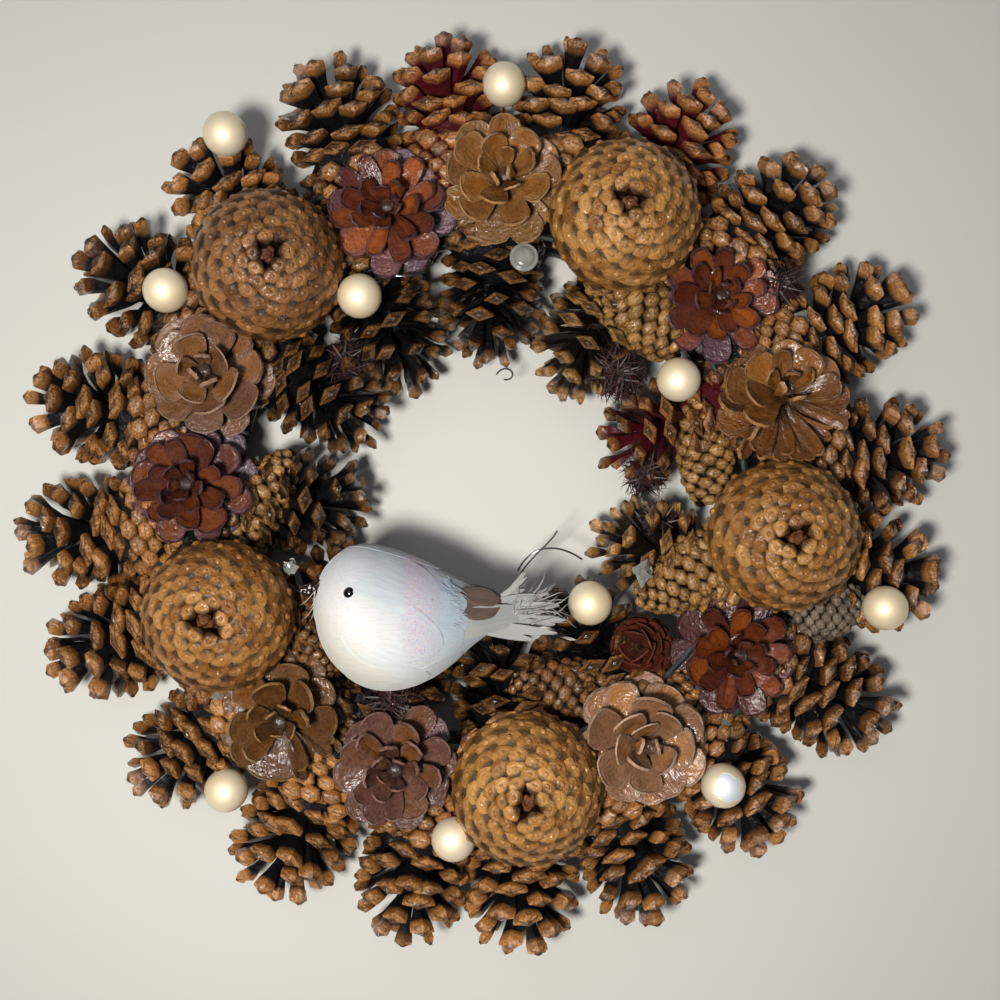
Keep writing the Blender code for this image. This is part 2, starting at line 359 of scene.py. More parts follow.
def bark_values(tree, patches, fibres, darkest, lightest):
    """What every bark starts from: its place, two sizes of pattern, and a shade from both.

    Patches and fibres are the scale, detail and roughness of their noise.
    """
    place = add_node(tree, "Attribute", take="Vector", attribute_name="place")
    tone = add_node(tree, "Attribute", take="Fac", attribute_name="tone")
    spot = add_node(tree, "TexCoord", take="Object")
    mottle, grain = [add_node(tree, "TexNoise", {"Vector": spot, "Scale": scale, "Detail": detail,
                                                 "Roughness": roughness})
                     for scale, detail, roughness in (patches, fibres)]
    shade = add_node(tree, "Math", [tone, mottle], operation="ADD")
    shade = add_node(tree, "MapRange", [shade, darkest, lightest])
    return place, tone, spot, mottle, grain, shade


def scale_material(name, strap, dark, light, worn, face_from=0.70, coat=1.0):
    """Dark strap, mottled brown head, worn keel and dark knob under clear varnish."""
    made, tree = new_material(name, roughness=0.6, specular_ior_level=0.12, coat_roughness=0.10,
                              coat_ior=1.55)
    place, _, spot, _, grain, shade = bark_values(tree, (MOTTLE, 4, 0.6), (GRAIN, 5, 0.65), 0.55, 1.45)
    along, up = add_node(tree, "SeparateXYZ", [place], take=("Y", "Z"))
    # The rim and the keel, where z is near nought on the face, are rubbed paler.
    height = add_node(tree, "Math", [up], operation="ABSOLUTE")
    front = add_node(tree, "MapRange", [along, 0.84, 0.88])
    keel = add_node(tree, "MapRange", [height, 0.03, 0.22, 0.75, 0])
    keel = add_node(tree, "Math", [keel, front], operation="MULTIPLY")
    rim = add_node(tree, "ValToRGB", [along], stops=((0.86, 0.0), (0.90, 0.45), (0.93, 0.45), (0.97, 0.0)))
    wear = add_node(tree, "Math", [keel, rim], operation="MAXIMUM")
    patchy = add_node(tree, "MapRange", [grain, 0.38, 0.62])
    wear = add_node(tree, "Math", [wear, patchy], operation="MULTIPLY")
    # The crack along the keel, the knob and the grain pits are darker.
    crack = add_node(tree, "MapRange", [height, 0.02, 0.10, 0.7, 0])
    crack = add_node(tree, "Math", [crack, front], operation="MULTIPLY")
    sound = add_node(tree, "Math", [1.0, crack], operation="SUBTRACT")
    dusk = add_node(tree, "MapRange", [along, 0.945, 0.975, 1, 0.35])
    speck = add_node(tree, "MapRange", [grain, 0.36, 0.56, 0.55, 1.05])
    for mask in (speck, sound):
        dusk = add_node(tree, "Math", [dusk, mask], operation="MULTIPLY")
    head = add_node(tree, "MapRange", [along, face_from, face_from + 0.10])
    # Bark, worn places, dark places, and the strap below the head, one over the other
    tint = dark
    for mask, over, blend in ((shade, light, "MIX"), (wear, worn, "MIX"), (1.0, dusk, "MULTIPLY")):
        tint = add_node(tree, "Mix", {FACTOR: mask, COLOUR_A: tint, COLOUR_B: over}, data_type="RGBA",
                        blend_type=blend)
    tint = add_node(tree, "Mix", {FACTOR: head, COLOUR_A: strap, COLOUR_B: tint}, data_type="RGBA")
    # The spray hardly reached the straps
    gloss = add_node(tree, "MapRange", [head, 0, 1, 0.25, coat])
    rough = add_node(tree, "TexNoise", {"Vector": spot, "Scale": 1 / (2.2 * MM), "Detail": 3.0})
    rough = add_node(tree, "Math", [rough, 2.0, grain], operation="MULTIPLY_ADD")
    relief = add_node(tree, "Bump", {"Height": rough, "Strength": 0.7, "Distance": 0.5 * MM})
    feed(made, base_color=tint, coat_weight=gloss, normal=relief, coat_normal=relief)
    return made


BLACK_SCALE = scale_material("varnished_pine_scale", "0B0A0C", "4A2B12", "AC743C", "D2A270")
MAROON_SCALE = scale_material("varnished_pine_scale_maroon", "420C12", "54301A", "A66C38", "C08C58",
                              face_from=0.72)
GOLDEN_SCALE = scale_material("varnished_pine_scale_golden", "1A120A", "56381A", "A67A42", "CCA46C")
# A darker copy of the bark for the inner cones and some small ones: painted shade for lying deep among the
# other cones
SHADE_PAINTED_SCALE = scale_material("varnished_pine_scale_painted_shade", "0A090A", "2E1B0C", "7A5028", "A67E4C")
print("bark finishes:", [m.name for m in (BLACK_SCALE, MAROON_SCALE, GOLDEN_SCALE, SHADE_PAINTED_SCALE)])

# %% [markdown]
# ## One open scale
# On the real cone a scale is a flat strap that thickens into a four-cornered head, about
# ten by five millimetres, with a keel from side to side and a small knob in the middle. A
# cylinder with eight sides is the nearest primitive: pressed flat, with its slanting corners
# drawn in, it is the strap, and extruding and resizing its end gives the neck, the head, the
# sloping face and the knob. Drawing the two side corners forward makes the keel. Eight sides
# keep it to a few dozen faces, which matters because it is copied two thousand times.

# %% Model the open scale
SCALE_LENGTH = 16.2 * MM


def open_scale(name, lift, head_width):
    """Strap, neck, keeled head and knob; lift curls the strap upwards."""
    scale = start_piece(name, bpy.ops.mesh.primitive_cylinder_add, vertices=8, radius=2.2 * MM,
                        depth=6 * MM, location=(0, 3 * MM, 0), rotation=(math.pi / 2, 0, 0))
    pick(lambda f: True)
    bpy.ops.transform.resize(value=(1, 1, 0.34))
    shift(lambda p: 1.1 * MM < abs(p.x) < 1.9 * MM, resize=(0.73, 1, 0.73), about=(0, 3 * MM, 0))
    pick(lambda f: f.normal.y > 0.9)
    grow_end((0, 3.8, lift), (1.6, 1, 1.4))
    grow_end((0, 2.6, 0.6 * lift), (1.42 * head_width, 1, 1.95))
    grow_end((0, 1.5, 0), (1.10, 1, 1.2))
    grow_end((0, 0.6, 0), (0.97, 1, 0.92))
    grow_end((0, 1.3, -0.2), (0.40, 1, 0.42))
    grow_end((0, 0.4, 0), (0.50, 1, 0.6))
    shift(lambda p: p.y > 13 * MM and abs(p.x) > 4.2 * MM * head_width, (0, 0.5 * MM, 0))
    store_place(scale, 5.4 * MM, SCALE_LENGTH, 2.4 * MM)
    measure(scale)
    return scale


scale_flat = open_scale("open_scale_flat", 0.5, 1.0)
scale_curled = open_scale("open_scale_curled", 1.7, 0.92)

# %% [markdown]
# ## One shut scale
# Towards the stalk the scales never open, and all that shows of one is its end: a rounded
# lozenge, wider than it is long, with a crack across it. It is a six-sided cylinder whose
# top is drawn in twice.

# %% Model the shut scale
scale_shut = start_piece("shut_scale", bpy.ops.mesh.primitive_cylinder_add, vertices=6, radius=1.0 * MM,
                         depth=0.5 * MM, location=(0, 0, -0.25 * MM), rotation=(0, 0, math.pi / 6))
pick(lambda f: True)
bpy.ops.transform.resize(value=(1.12, 0.92, 1))
pick(lambda f: f.normal.z > 0.9)
grow_end((0, 0.04, 0.36), (0.80, 0.76, 1))
grow_end((0, 0.04, 0.24), (0.40, 0.34, 1))
store_place(scale_shut, 1.0 * MM, 0.9 * MM, 0.6 * MM, end_on=True)
measure(scale_shut)

# %% [markdown]
# ## Growing a cone
# Scales leave the core one by one, each turned by the golden angle, about 137.5 degrees,
# from the one before. That single rule makes the crossing spirals of every pinecone. What
# changes from stalk to tip is where the root sits, how far out and how far along the head
# reaches, and how wide the head is, so those are given as a few stops along the cone.

# %% Values, directions and chance
def between(stops, t):
    """Value at t on a line through a few stops."""
    for (low, low_value), (high, high_value) in zip(stops, stops[1:]):
        if t <= high:
            return low_value + (high_value - low_value) * (t - low) / (high - low)
    return stops[-1][1]


def frame_about(axis):
    """Two directions square to an axis and to each other."""
    helper = UP if abs(axis.z) < 0.7 else Vector((1, 0, 0))
    first = (helper - axis * helper.dot(axis)).normalized()
    return first, axis.cross(first)


def spoke_at(first, second, angle):
    """Direction at an angle between two that are square to each other."""
    return first * math.cos(angle) + second * math.sin(angle)


def matrix_of(first, second, third):
    """Matrix with three directions for its axes."""
    return Matrix((first, second, third)).transposed().to_4x4()


def jitter(spread):
    """Random vector of a usual length in each direction."""
    return Vector([rng.gauss(0, spread) for _ in range(3)])


def random_tone(middle, spread=0.2):
    """Random tone near a middle one, from nought to one."""
    return min(1.0, max(0.0, rng.gauss(middle, spread)))


# %% Seat, copy, join and settle
def seat(root, out, up, width, length, thick):
    """Matrix that lays a scale from its root along out, with its upper side towards up."""
    out = out.normalized()
    across = out.cross(up).normalized()
    up = across.cross(out)
    return Matrix.Translation(root) @ matrix_of(across * width, out * length, up * thick)


def copy_of(shape, matrix, tone=0.5, age=0.0):
    """Copy of a shape with its own mesh, moved by a matrix and given its tone and age.

    The age runs from nought at the outside of a flower to one at its middle.
    """
    mesh = shape.data.copy()
    mesh.transform(matrix)
    for name, value in (("tone", tone), ("age", age)):
        mesh.attributes[name].data.foreach_set("value", [value] * len(mesh.vertices))
    made = bpy.data.objects.new("copy", mesh)
    bpy.context.scene.collection.objects.link(made)
    return made


def join(name, pieces, material, smooth_angle=38):
    """Join pieces into one object, shade it and give it its material."""
    deselect()
    for piece in pieces:
        piece.select_set(True)
    bpy.context.view_layer.objects.active = pieces[0]
    if len(pieces) > 1:
        bpy.ops.object.join()
    made = bpy.context.object
    made.name = name
    made.data.name = name
    made.data.materials.clear()
    made.data.materials.append(material)
    bpy.ops.object.shade_smooth_by_angle(angle=math.radians(smooth_angle))
    return made


def settle(piece, slot, *nodes):
    """Hand a finished piece to the frame: it rides on the root and stands for its nodes."""
    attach(piece, "root")
    if nodes:
        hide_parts(*nodes)


# %% Model the core of a cone
def core_shape(name, length, radius):
    """Spindle that the scales leave: a cylinder narrowed at both ends."""
    core = start_piece(name, bpy.ops.mesh.primitive_cylinder_add, vertices=8, radius=radius,
                       depth=0.6 * length, location=(0, 0, 0.5 * length))
    pick(lambda f: f.normal.z > 0.9)
    grow_end((0, 0, 0.2 * length / MM), (0.4, 0.4, 1))
    pick(lambda f: f.normal.z < -0.9)
    grow_end((0, 0, -0.19 * length / MM), (0.5, 0.5, 1))
    store_place(core, 1.0, 1.0, 1.0)
    return core


core = core_shape("cone_core", 48 * MM, 3.4 * MM)
shut_body = core_shape("shut_cone_body", 44 * MM, 15.5 * MM)
measure(core)
measure(shut_body)

# %% [markdown]
# ## The outer and the inner ring
# Basal scales stay small and shut, packed edge to edge around a thick body. From about two
# fifths of the way up they spread almost level, with the dark straps showing between the
# heads, and the last ones stand up like fingers around the tip. The same
# growth serves both rings. The inner cones get a darker copy of the bark: painted shade
# for lying deep in the shade of the others.

# %% Measures of a ring cone
# Stops along the cone, in millimetres for a plug of the length and radius below. First the
# shut part by its place on the axis, then the open part by its share of the open scales.
SHUT_REACH = ((-12, 4.0), (-7, 10.0), (0, 14.6), (10, 17.0), (17, 17.6))
SHUT_SIZE = ((-12, 3.2), (0, 4.4), (10, 5.6), (17, 6.6))
RING_ROOT = ((0, 10.0), (1, 46.0))
RING_HEAD = ((0, 13.0), (0.32, 25.0), (0.58, 36.5), (0.80, 50.0), (0.90, 57.0), (1, 64.0))
RING_REACH = ((0, 18.4), (0.30, 19.8), (0.50, 20.8), (0.75, 20.6), (0.90, 16.5), (1, 8.0))
RING_WIDTH = ((0, 0.92), (0.32, 1.10), (0.50, 1.08), (0.75, 0.94), (0.90, 0.72), (1, 0.52))
RING_THICK = ((0, 0.92), (0.3, 1.0), (0.75, 1.10), (1, 0.85))
RING_LENGTH = 68.0 * MM
RING_RADIUS = 19.3 * MM
CORE_RADIUS = 2.2 * MM
FLOOR_GAP = 2.9 * MM                # least height of a scale's root or head above the floor
SHUT_PACKING = 0.80                 # share of its size squared that a shut scale covers
CURLED_SHARE = 0.4                  # share of the open scales that curl upwards


# %% Grow the shut part
def shut_part(start, axis, stretch, swell, phase, age, stops=SHUT_REACH, sizes=SHUT_SIZE):
    """Small shut scales in golden-angle order, from the stalk to the first open scale."""
    first, second = frame_about(axis)
    pieces = []
    along, index = stops[0][0] + 0.5, 0
    while along < stops[-1][0]:
        size = between(sizes, along) * swell * rng.uniform(0.92, 1.08)
        reach = between(stops, along) * swell
        slope = (between(stops, along + 1) - between(stops, along - 1 if index else along)) * swell
        spoke = spoke_at(first, second, phase + index * GOLDEN_ANGLE + rng.gauss(0, 0.03))
        root = start + axis * (along * stretch * MM) + spoke * (reach * MM)
        root.z = max(root.z, FLOOR_GAP)
        out = (axis * 2.0 + spoke * slope).normalized()
        up = (spoke * 2.0 - axis * slope - out * 0.35).normalized()
        matrix = seat(root, out, up, size * 0.58, size * 0.56, size * 0.60)
        pieces.append(copy_of(scale_shut, matrix, random_tone(age)))
        # On by the share of the girth that this scale covers
        along += size ** 2 * SHUT_PACKING / (2 * math.pi * reach * stretch)
        index += 1
    return pieces


# %% Grow the ring cones
def ring_cone(node, material, scales, fatten):
    """Cone grown along the axis of its plug, its heads reaching a little past it."""
    start, axis, length, radius = axis_of(node, outward(node) * (1 if node[0] == "o" else -1))
    first, second = frame_about(axis)
    stretch = length / RING_LENGTH
    swell = radius / RING_RADIUS * fatten
    phase = rng.uniform(0, 2 * math.pi)
    age = rng.gauss(0.5, 0.13)
    pieces = shut_part(start, axis, stretch, swell, phase, age)
    for index in range(scales):
        t = index / (scales - 1)
        spoke = spoke_at(first, second, phase + index * GOLDEN_ANGLE + rng.gauss(0, 0.06))
        root = start + axis * (between(RING_ROOT, t) * stretch * MM) + spoke * CORE_RADIUS
        head = start + axis * ((between(RING_HEAD, t) + rng.gauss(0, 0.9)) * stretch * MM)
        head += spoke * (between(RING_REACH, t) * swell * MM * rng.uniform(0.95, 1.04))
        head.z = max(head.z, FLOOR_GAP)
        out = head - root
        up = axis + jitter(0.10)
        size = swell ** 0.5 * rng.uniform(0.90, 1.10)
        matrix = seat(root, out, up, between(RING_WIDTH, t) * size, out.length / SCALE_LENGTH,
                      between(RING_THICK, t) * size)
        shape = scale_curled if rng.random() < CURLED_SHARE else scale_flat
        pieces.append(copy_of(shape, matrix, random_tone(age)))
    turn = matrix_of(first, second, axis)
    pieces.append(copy_of(core, Matrix.Translation(start) @ turn @ Matrix.Scale(stretch, 4, UP), 0.3))
    girth = Matrix.Diagonal((swell, swell, stretch, 1))
    foot = Matrix.Translation(start - axis * (12 * stretch * MM))
    pieces.append(copy_of(shut_body, foot @ turn @ girth, 0.1))
    cone = join(node + "_scales", pieces, material, smooth_angle=31)
    settle(cone, "open_cone_scale", node)
    return len(cone.data.polygons)


RING_FINISH = {"outer_cone_04": MAROON_SCALE, "outer_cone_06": MAROON_SCALE, "inner_cone_01": MAROON_SCALE,
               "inner_cone_02": GOLDEN_SCALE, "inner_cone_11": GOLDEN_SCALE}
# Usual finish, number of open scales, and how much fuller than its plug a cone is
RINGS = {"outer_cone": (BLACK_SCALE, 64, 1.11), "inner_cone": (SHADE_PAINTED_SCALE, 62, 1.20)}
ring_faces = 0
for node in sorted(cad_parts):
    if node[:10] in RINGS:
        usual, scales, fatten = RINGS[node[:10]]
        ring_faces += ring_cone(node, RING_FINISH.get(node, usual), scales, fatten)
print("ring cone faces:", ring_faces)

# %% [markdown]
# ## The closed cones
# Five cones never opened. Seen from the stalk end they are domes of glossy golden beads,
# and each bead is one shut scale: a rounded fan with a small knob. The rim of each
# bead is free and stands a little proud of the next one out, and the crevices are painted dark as shade.
#
# One bead is a low cylinder, wider at its free end, whose top is drawn in ring by ring. The
# last rings step down a little and up again to make the knob.

# %% Bead material and the bead
def bead_material(name, dark, light, pit, crevice_shade):
    """Golden bead with a dark knob pit and painted shade in its crevices, under glossy varnish."""
    made, tree = new_material(name, roughness=0.5, specular_ior_level=0.15, coat_weight=1.0,
                              coat_roughness=0.10, coat_ior=1.5)
    place, _, _, mottle, grain, shade = bark_values(tree, (1 / (3 * MM), 4, 0.5), (GRAIN, 4, 0.5), 0.6, 1.4)
    age = add_node(tree, "Attribute", take="Fac", attribute_name="age")
    back, up = add_node(tree, "SeparateXYZ", [place], take=("Y", "Z"))
    # The pit around the knob
    flat = add_node(tree, "VectorMath", [place, (1, 1, 0)], operation="MULTIPLY")
    reach = add_node(tree, "VectorMath", [flat], operation="LENGTH")
    hole = add_node(tree, "MapRange", [reach, 0.12, 0.23, 0.15, 0])
    # Painted shade: the foot and the side tucked under the next scale in are darkest
    low = add_node(tree, "MapRange", [up, 0.1, 0.60, 1, 0])
    tucked_shade = add_node(tree, "MapRange", [back, -0.62, -0.22, 0.85, 0])
    tint = dark
    for mask, over in ((shade, light), (hole, pit), (low, crevice_shade), (tucked_shade, crevice_shade), (age, "4C241A")):
        tint = add_node(tree, "Mix", {FACTOR: mask, COLOUR_A: tint, COLOUR_B: over}, data_type="RGBA")
    # Hardly any varnish ran down into the crevices
    hidden = add_node(tree, "Math", [low, tucked_shade], operation="MAXIMUM")
    glossy = add_node(tree, "MapRange", [hidden, 0, 1, 1, 0])
    rough = add_node(tree, "Math", [mottle, 2.5, grain], operation="MULTIPLY_ADD")
    relief = add_node(tree, "Bump", {"Height": rough, "Strength": 0.9, "Distance": 0.5 * MM})
    feed(made, base_color=tint, coat_weight=glossy, normal=relief, coat_normal=relief)
    return made


GOLD_BEAD = bead_material("varnished_closed_cone", "7C5022", "B6864A", "4A2A16", "1C0E04")
UMBER_BEAD = bead_material("varnished_closed_cone_umber", "5C3A1C", "94683C", "3A2014", "160B04")

bead = start_piece("closed_scale", bpy.ops.mesh.primitive_cylinder_add, vertices=8, radius=1.0 * MM,
                   depth=0.7 * MM, location=(0, 0, -0.35 * MM))
shift(lambda p: p.y < -0.5 * MM, resize=(0.72, 1, 1), about=(0, 0, 0))
shift(lambda p: p.y > 0.5 * MM, resize=(1.18, 0.94, 1), about=(0, 0, 0))
pick(lambda f: f.normal.z > 0.9)
grow_end((0, 0, 0.26), (0.93, 0.93, 1))
grow_end((0, 0, 0.22), (0.72, 0.72, 1))
grow_end((0, -0.02, 0.09), (0.46, 0.46, 1))
grow_end((0, 0, -0.04), (0.75, 0.75, 1))
grow_end((0, 0, 0.18), (0.42, 0.42, 1))
store_place(bead, 1.0 * MM, 1.0 * MM, 0.45 * MM)
measure(bead)

# %% [markdown]
# ## Beads in golden-angle order
# A real cone keeps adding scales at the same angle while each is larger than the last. Here
# a running count walks down the dome: after each bead it goes down by the share of surface
# that bead takes, so the beads pack closely whatever their size.

# %% Measures and dome of a closed cone
DOME_WIDTH = 22.6 * MM              # radius that the beads stand on
DOME_TOP = 19.0 * MM
EQUATOR = 14.5 * MM                 # height of the widest row above the plug's foot
PLUG_RADIUS = 24.2 * MM
FIRST_ROW, LAST_ROW = math.radians(12), math.radians(122)   # angles from the pole
FULL_ROW = math.radians(88)         # row where the beads are full grown
BEAD_PACKING = 0.74                 # share of its size squared that a bead covers
BRACTS = 9                          # shrivelled scales in the hollow, the stalk among them
# Size of a bead in millimetres and how far its free edge is lifted, from the top outwards
BEAD_SIZE = ((0, 3.7), (0.5, 6.2), (0.8, 8.2), (1, 10.0))
BEAD_LIFT = ((0, 8), (0.5, 15), (0.85, 24), (1, 40), (1.4, 46))
# Closed cones 3 and 5 are toned darker than the rest; on cone 3 this is painted shade, making up for the
# key light that stands nearer to it
DOME_TONE_AND_SHADE = {"closed_cone_03": 0.32, "closed_cone_05": 0.38}

# Round body under the beads, flattened at the top
dome = start_piece("closed_cone_dome", bpy.ops.mesh.primitive_uv_sphere_add, segments=20, ring_count=12,
                   radius=1.0 * MM)
shift(lambda p: p.z > 0.9 * MM, (0, 0, -0.22 * MM))
# Its height is stored upside down, so that the bead material paints its top, which shows between the beads,
# in the dark crevice colour: painted shade
store_place(dome, 1.0 * MM, 1.0 * MM, -1.0 * MM)
measure(dome)


# %% Scales that did open
def opened_scales(name, middle, axis):
    """Two rows of scales that did open, on the side towards the middle of the wreath."""
    opened = []
    for step, heading in enumerate(range(36, 170, 15)):
        spoke = spoke_at(Vector((1, 0, 0)), Vector((0, 1, 0)), math.radians(heading))
        row = step % 2
        root = middle + spoke * ((13 + 2 * row) * MM) - axis * ((10 + 4 * row) * MM)
        out = spoke * (0.68 + 0.15 * row) + axis * (0.85 - 0.2 * row)
        out += jitter(0.05)
        up = axis - spoke * rng.uniform(0.7, 1.1)
        size = rng.uniform(0.95, 1.15)
        opened.append(copy_of(scale_flat, seat(root, out, up, size, 1.1, 1.7 * size), 0.6))
    settle(join(name, opened, BLACK_SCALE, smooth_angle=31), None)


# %% Grow the closed cones
def closed_cone(node, material):
    """Dome of beads around the axis of its plug, with the broken stalk in the middle."""
    start, axis, _, radius = axis_of(node, UP)
    first, second = frame_about(axis)
    swell = radius / PLUG_RADIUS
    middle = start + axis * (EQUATOR * swell)
    phase = rng.uniform(0, 2 * math.pi)
    width, top = 0.95 * DOME_WIDTH / MM, 0.95 * DOME_TOP / MM
    body = matrix_of(first, second, axis) @ Matrix.Diagonal((width, width, top, 1))
    pieces = [copy_of(dome, Matrix.Translation(middle) @ body, 0.1, 0.3)]
    polar = FIRST_ROW
    index = 0
    while polar < LAST_ROW:
        share = min(1.0, polar / FULL_ROW)
        size = between(BEAD_SIZE, share) * swell
        spoke = spoke_at(first, second, phase + index * GOLDEN_ANGLE + rng.gauss(0, 0.025))
        level = axis * (DOME_TOP * swell * math.cos(polar))
        root = middle + spoke * (DOME_WIDTH * swell * math.sin(polar)) + level
        normal = spoke * (math.sin(polar) / DOME_WIDTH) + axis * (math.cos(polar) / DOME_TOP)
        normal.normalize()
        out = normal.cross(axis.cross(spoke)) * -1
        lift = math.radians(between(BEAD_LIFT, polar / FULL_ROW)) + rng.gauss(0, 0.05)
        tilted = normal * math.cos(lift) - out * math.sin(lift)
        fuzz = rng.uniform(0.94, 1.08)
        matrix = seat(root + normal * (0.4 * MM), out, tilted, size * (0.80 + 0.04 * share) * fuzz,
                      size * 0.73 * fuzz, size * (0.86 - 0.14 * share))
        pieces.append(copy_of(bead, matrix, random_tone(DOME_TONE_AND_SHADE.get(node, 0.55))))
        # Down by the share of the girth that this bead covers
        girth = 2 * math.pi * DOME_WIDTH * swell * math.sin(polar)
        polar += (size * MM) ** 2 * BEAD_PACKING / (girth * math.sqrt(DOME_WIDTH * DOME_TOP) * swell)
        index += 1
    if node == "closed_cone_04":
        opened_scales(node + "_opened", middle, axis)
    for step in range(BRACTS):
        # The broken stalk in the hollow, with small shrivelled bracts around it
        spoke = spoke_at(first, second, phase + step * GOLDEN_ANGLE)
        size, depth = (1.15 + 0.06 * step, 1.2) if step else (2.2, 0.7)
        root = middle + spoke * ((0.25 + 0.22 * step) * MM) + axis * (DOME_TOP * swell - depth * MM)
        up = (axis - spoke * 0.4 + second * rng.gauss(0, 0.2)).normalized()
        pieces.append(copy_of(bead, seat(root, spoke, up, size, size, size * 1.7), 0.5, 0.8))
    settle(join(node + "_beads", pieces, material, smooth_angle=62), "closed_cone_scale", node)
    return index


for node in sorted(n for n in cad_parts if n.startswith("closed_cone")):
    count = closed_cone(node, UMBER_BEAD if node == "closed_cone_02" else GOLD_BEAD)
    print(node, count, "beads")

# %% [markdown]
# ## The cut cones, or wooden flowers
# A cone sawn across, seen from the saw cut, looks like a flower. Each petal is the upper
# side of a scale: a smooth oval bed where the winged seed lay, inside a raised rim. The
# lowest petals lie flat and are the longest, and the inner ones stand up around the sawn
# core. Some of these flowers were dipped in a violet or a red stain before the varnish,
# which took best on the outer petals.

# %% Petal material
def petal_material(name, skin, skin_light, bed, bed_deep, rim, outer, outer_coat=0.12, bed_from=0.0):
    """Stained skin around a smooth seed bed, with a rubbed rim, under glossy varnish."""
    made, tree = new_material(name, roughness=0.5, specular_ior_level=0.2, coat_weight=1.0,
                              coat_roughness=outer_coat, coat_ior=1.5)
    place, tone, spot, mottle, grain, shade = bark_values(tree, (1 / (4 * MM), 4, 0.5), (GRAIN, 5, 0.6),
                                                          0.6, 1.4)
    age = add_node(tree, "Attribute", take="Fac", attribute_name="age")
    across, along = add_node(tree, "SeparateXYZ", [place], take=("X", "Y"))
    young = add_node(tree, "MapRange", [age, 0.12, 0.5])
    # Oval seed bed, measured from its middle in half widths
    centred = add_node(tree, "Mapping", {"Vector": place, "Location": (0.0, -1.34, 0.0),
                                         "Scale": (1.38, 2.45, 0.0)})
    oval = add_node(tree, "VectorMath", [centred], operation="LENGTH")
    ragged = add_node(tree, "Math", [mottle, 0.5, oval], operation="MULTIPLY_ADD")
    inside = add_node(tree, "MapRange", [ragged, 1.00, 1.34, 0.85, 0])
    aged = add_node(tree, "MapRange", [age, bed_from, bed_from + 0.2])
    # The bed kept its amber skin on some petals only
    kept = add_node(tree, "MapRange", [tone, 0.35, 0.65, 0.3, 1])
    for mask in (aged, kept):
        inside = add_node(tree, "Math", [inside, mask], operation="MULTIPLY")
    # Rubbed rim along the free edge
    side = add_node(tree, "Math", [across], operation="ABSOLUTE")
    side = add_node(tree, "Math", [side, 0.97], operation="MULTIPLY")
    edge = add_node(tree, "Math", [side, along], operation="MAXIMUM")
    edge = add_node(tree, "MapRange", [edge, 0.90, 0.99, 0, 0.7])
    tip = add_node(tree, "MapRange", [along, 0.35, 0.7])
    edge = add_node(tree, "Math", [edge, tip], operation="MULTIPLY")
    # Dark at the root and in the pits of the grain
    root = add_node(tree, "MapRange", [along, 0.05, 0.34, 0.30, 1])
    speck = add_node(tree, "MapRange", [grain, 0.36, 0.5, 0.6, 1])
    dusk = add_node(tree, "Math", [root, speck], operation="MULTIPLY")
    # Skin, bed, rim and dark places, one over the other
    bark, deep = [add_node(tree, "Mix", {FACTOR: shade, COLOUR_A: low, COLOUR_B: high}, data_type="RGBA")
                  for low, high in ((skin, skin_light), (bed_deep, bed))]
    bark = add_node(tree, "Mix", {FACTOR: young, COLOUR_A: outer, COLOUR_B: bark}, data_type="RGBA")
    for mask, over, blend in ((inside, deep, "MIX"), (edge, rim, "MIX"), (1.0, dusk, "MULTIPLY")):
        bark = add_node(tree, "Mix", {FACTOR: mask, COLOUR_A: bark, COLOUR_B: over}, data_type="RGBA",
                        blend_type=blend)
    # Veins, some 0.6 mm apart, run along the petal; the outer petals are wrinkled
    veins = add_node(tree, "Mapping", {"Vector": place, "Scale": (9.0, 1.2, 1.0)})
    veins = add_node(tree, "TexNoise", {"Vector": veins, "Scale": 1.0, "Detail": 3.0})
    wrinkle = add_node(tree, "TexNoise", {"Vector": spot, "Scale": 1 / (1.6 * MM), "Detail": 4.0})
    smooth = add_node(tree, "Math", [veins, 0.4, mottle], operation="MULTIPLY_ADD")
    rough = add_node(tree, "Math", [wrinkle, 1.3, mottle], operation="MULTIPLY_ADD")
    height = add_node(tree, "Mix", {FACTOR: young, 2: rough, 3: smooth}, data_type="FLOAT")
    # The rim is a rounded bead
    height = add_node(tree, "Math", [edge, 0.7, height], operation="MULTIPLY_ADD")
    relief = add_node(tree, "Bump", {"Height": height, "Strength": 0.9, "Distance": 1.0 * MM})
    feed(made, base_color=bark, normal=relief, coat_normal=relief)
    return made


# %% [markdown]
# ## One petal
# A petal is a small grid, widened row by row to a spatula, dished along its middle and then
# given its thickness. Its place numbers are stored while it is still a rectangle, so that
# "across" runs from edge to edge in every row whatever its width.

# %% Model the petals
PETAL_LENGTH = 15.4 * MM
PETAL_HALF = 5.6 * MM
PETAL_ROWS = (0.0, 0.22, 0.42, 0.62, 0.80, 0.93, 1.0)
HAIR = 1e-6                         # lifts a finished row, so that it is not taken again
ALL = 9                             # further out than any share of a length or width


def leaf_shape(name, columns, rows, widths, length, half, curl):
    """Grid widened row by row into a blade that curls up, left open in edit mode.

    Rows and widths are shares of its length and half width.
    """
    leaf = start_piece(name, bpy.ops.mesh.primitive_grid_add, x_subdivisions=columns,
                       y_subdivisions=len(rows) - 1, size=2 * MM)
    shift(lambda p: True, (0, 1 * MM, 0))
    shift(lambda p: True, resize=(1, 0.5, 1), about=(0, 0, 0))
    store_place(leaf, 1.0 * MM, 1.0 * MM, 1.0 * MM)
    edit(leaf)
    for number in reversed(range(len(rows))):
        level = number / (len(rows) - 1) * MM
        shift(lambda p: abs(p.y - level) < 0.02 * MM and p.z == 0,
              (0, rows[number] * length - level, curl * rows[number] ** 2 * MM + HAIR),
              (widths[number] * half / MM, 1, 1), (0, level, 0))
    return leaf


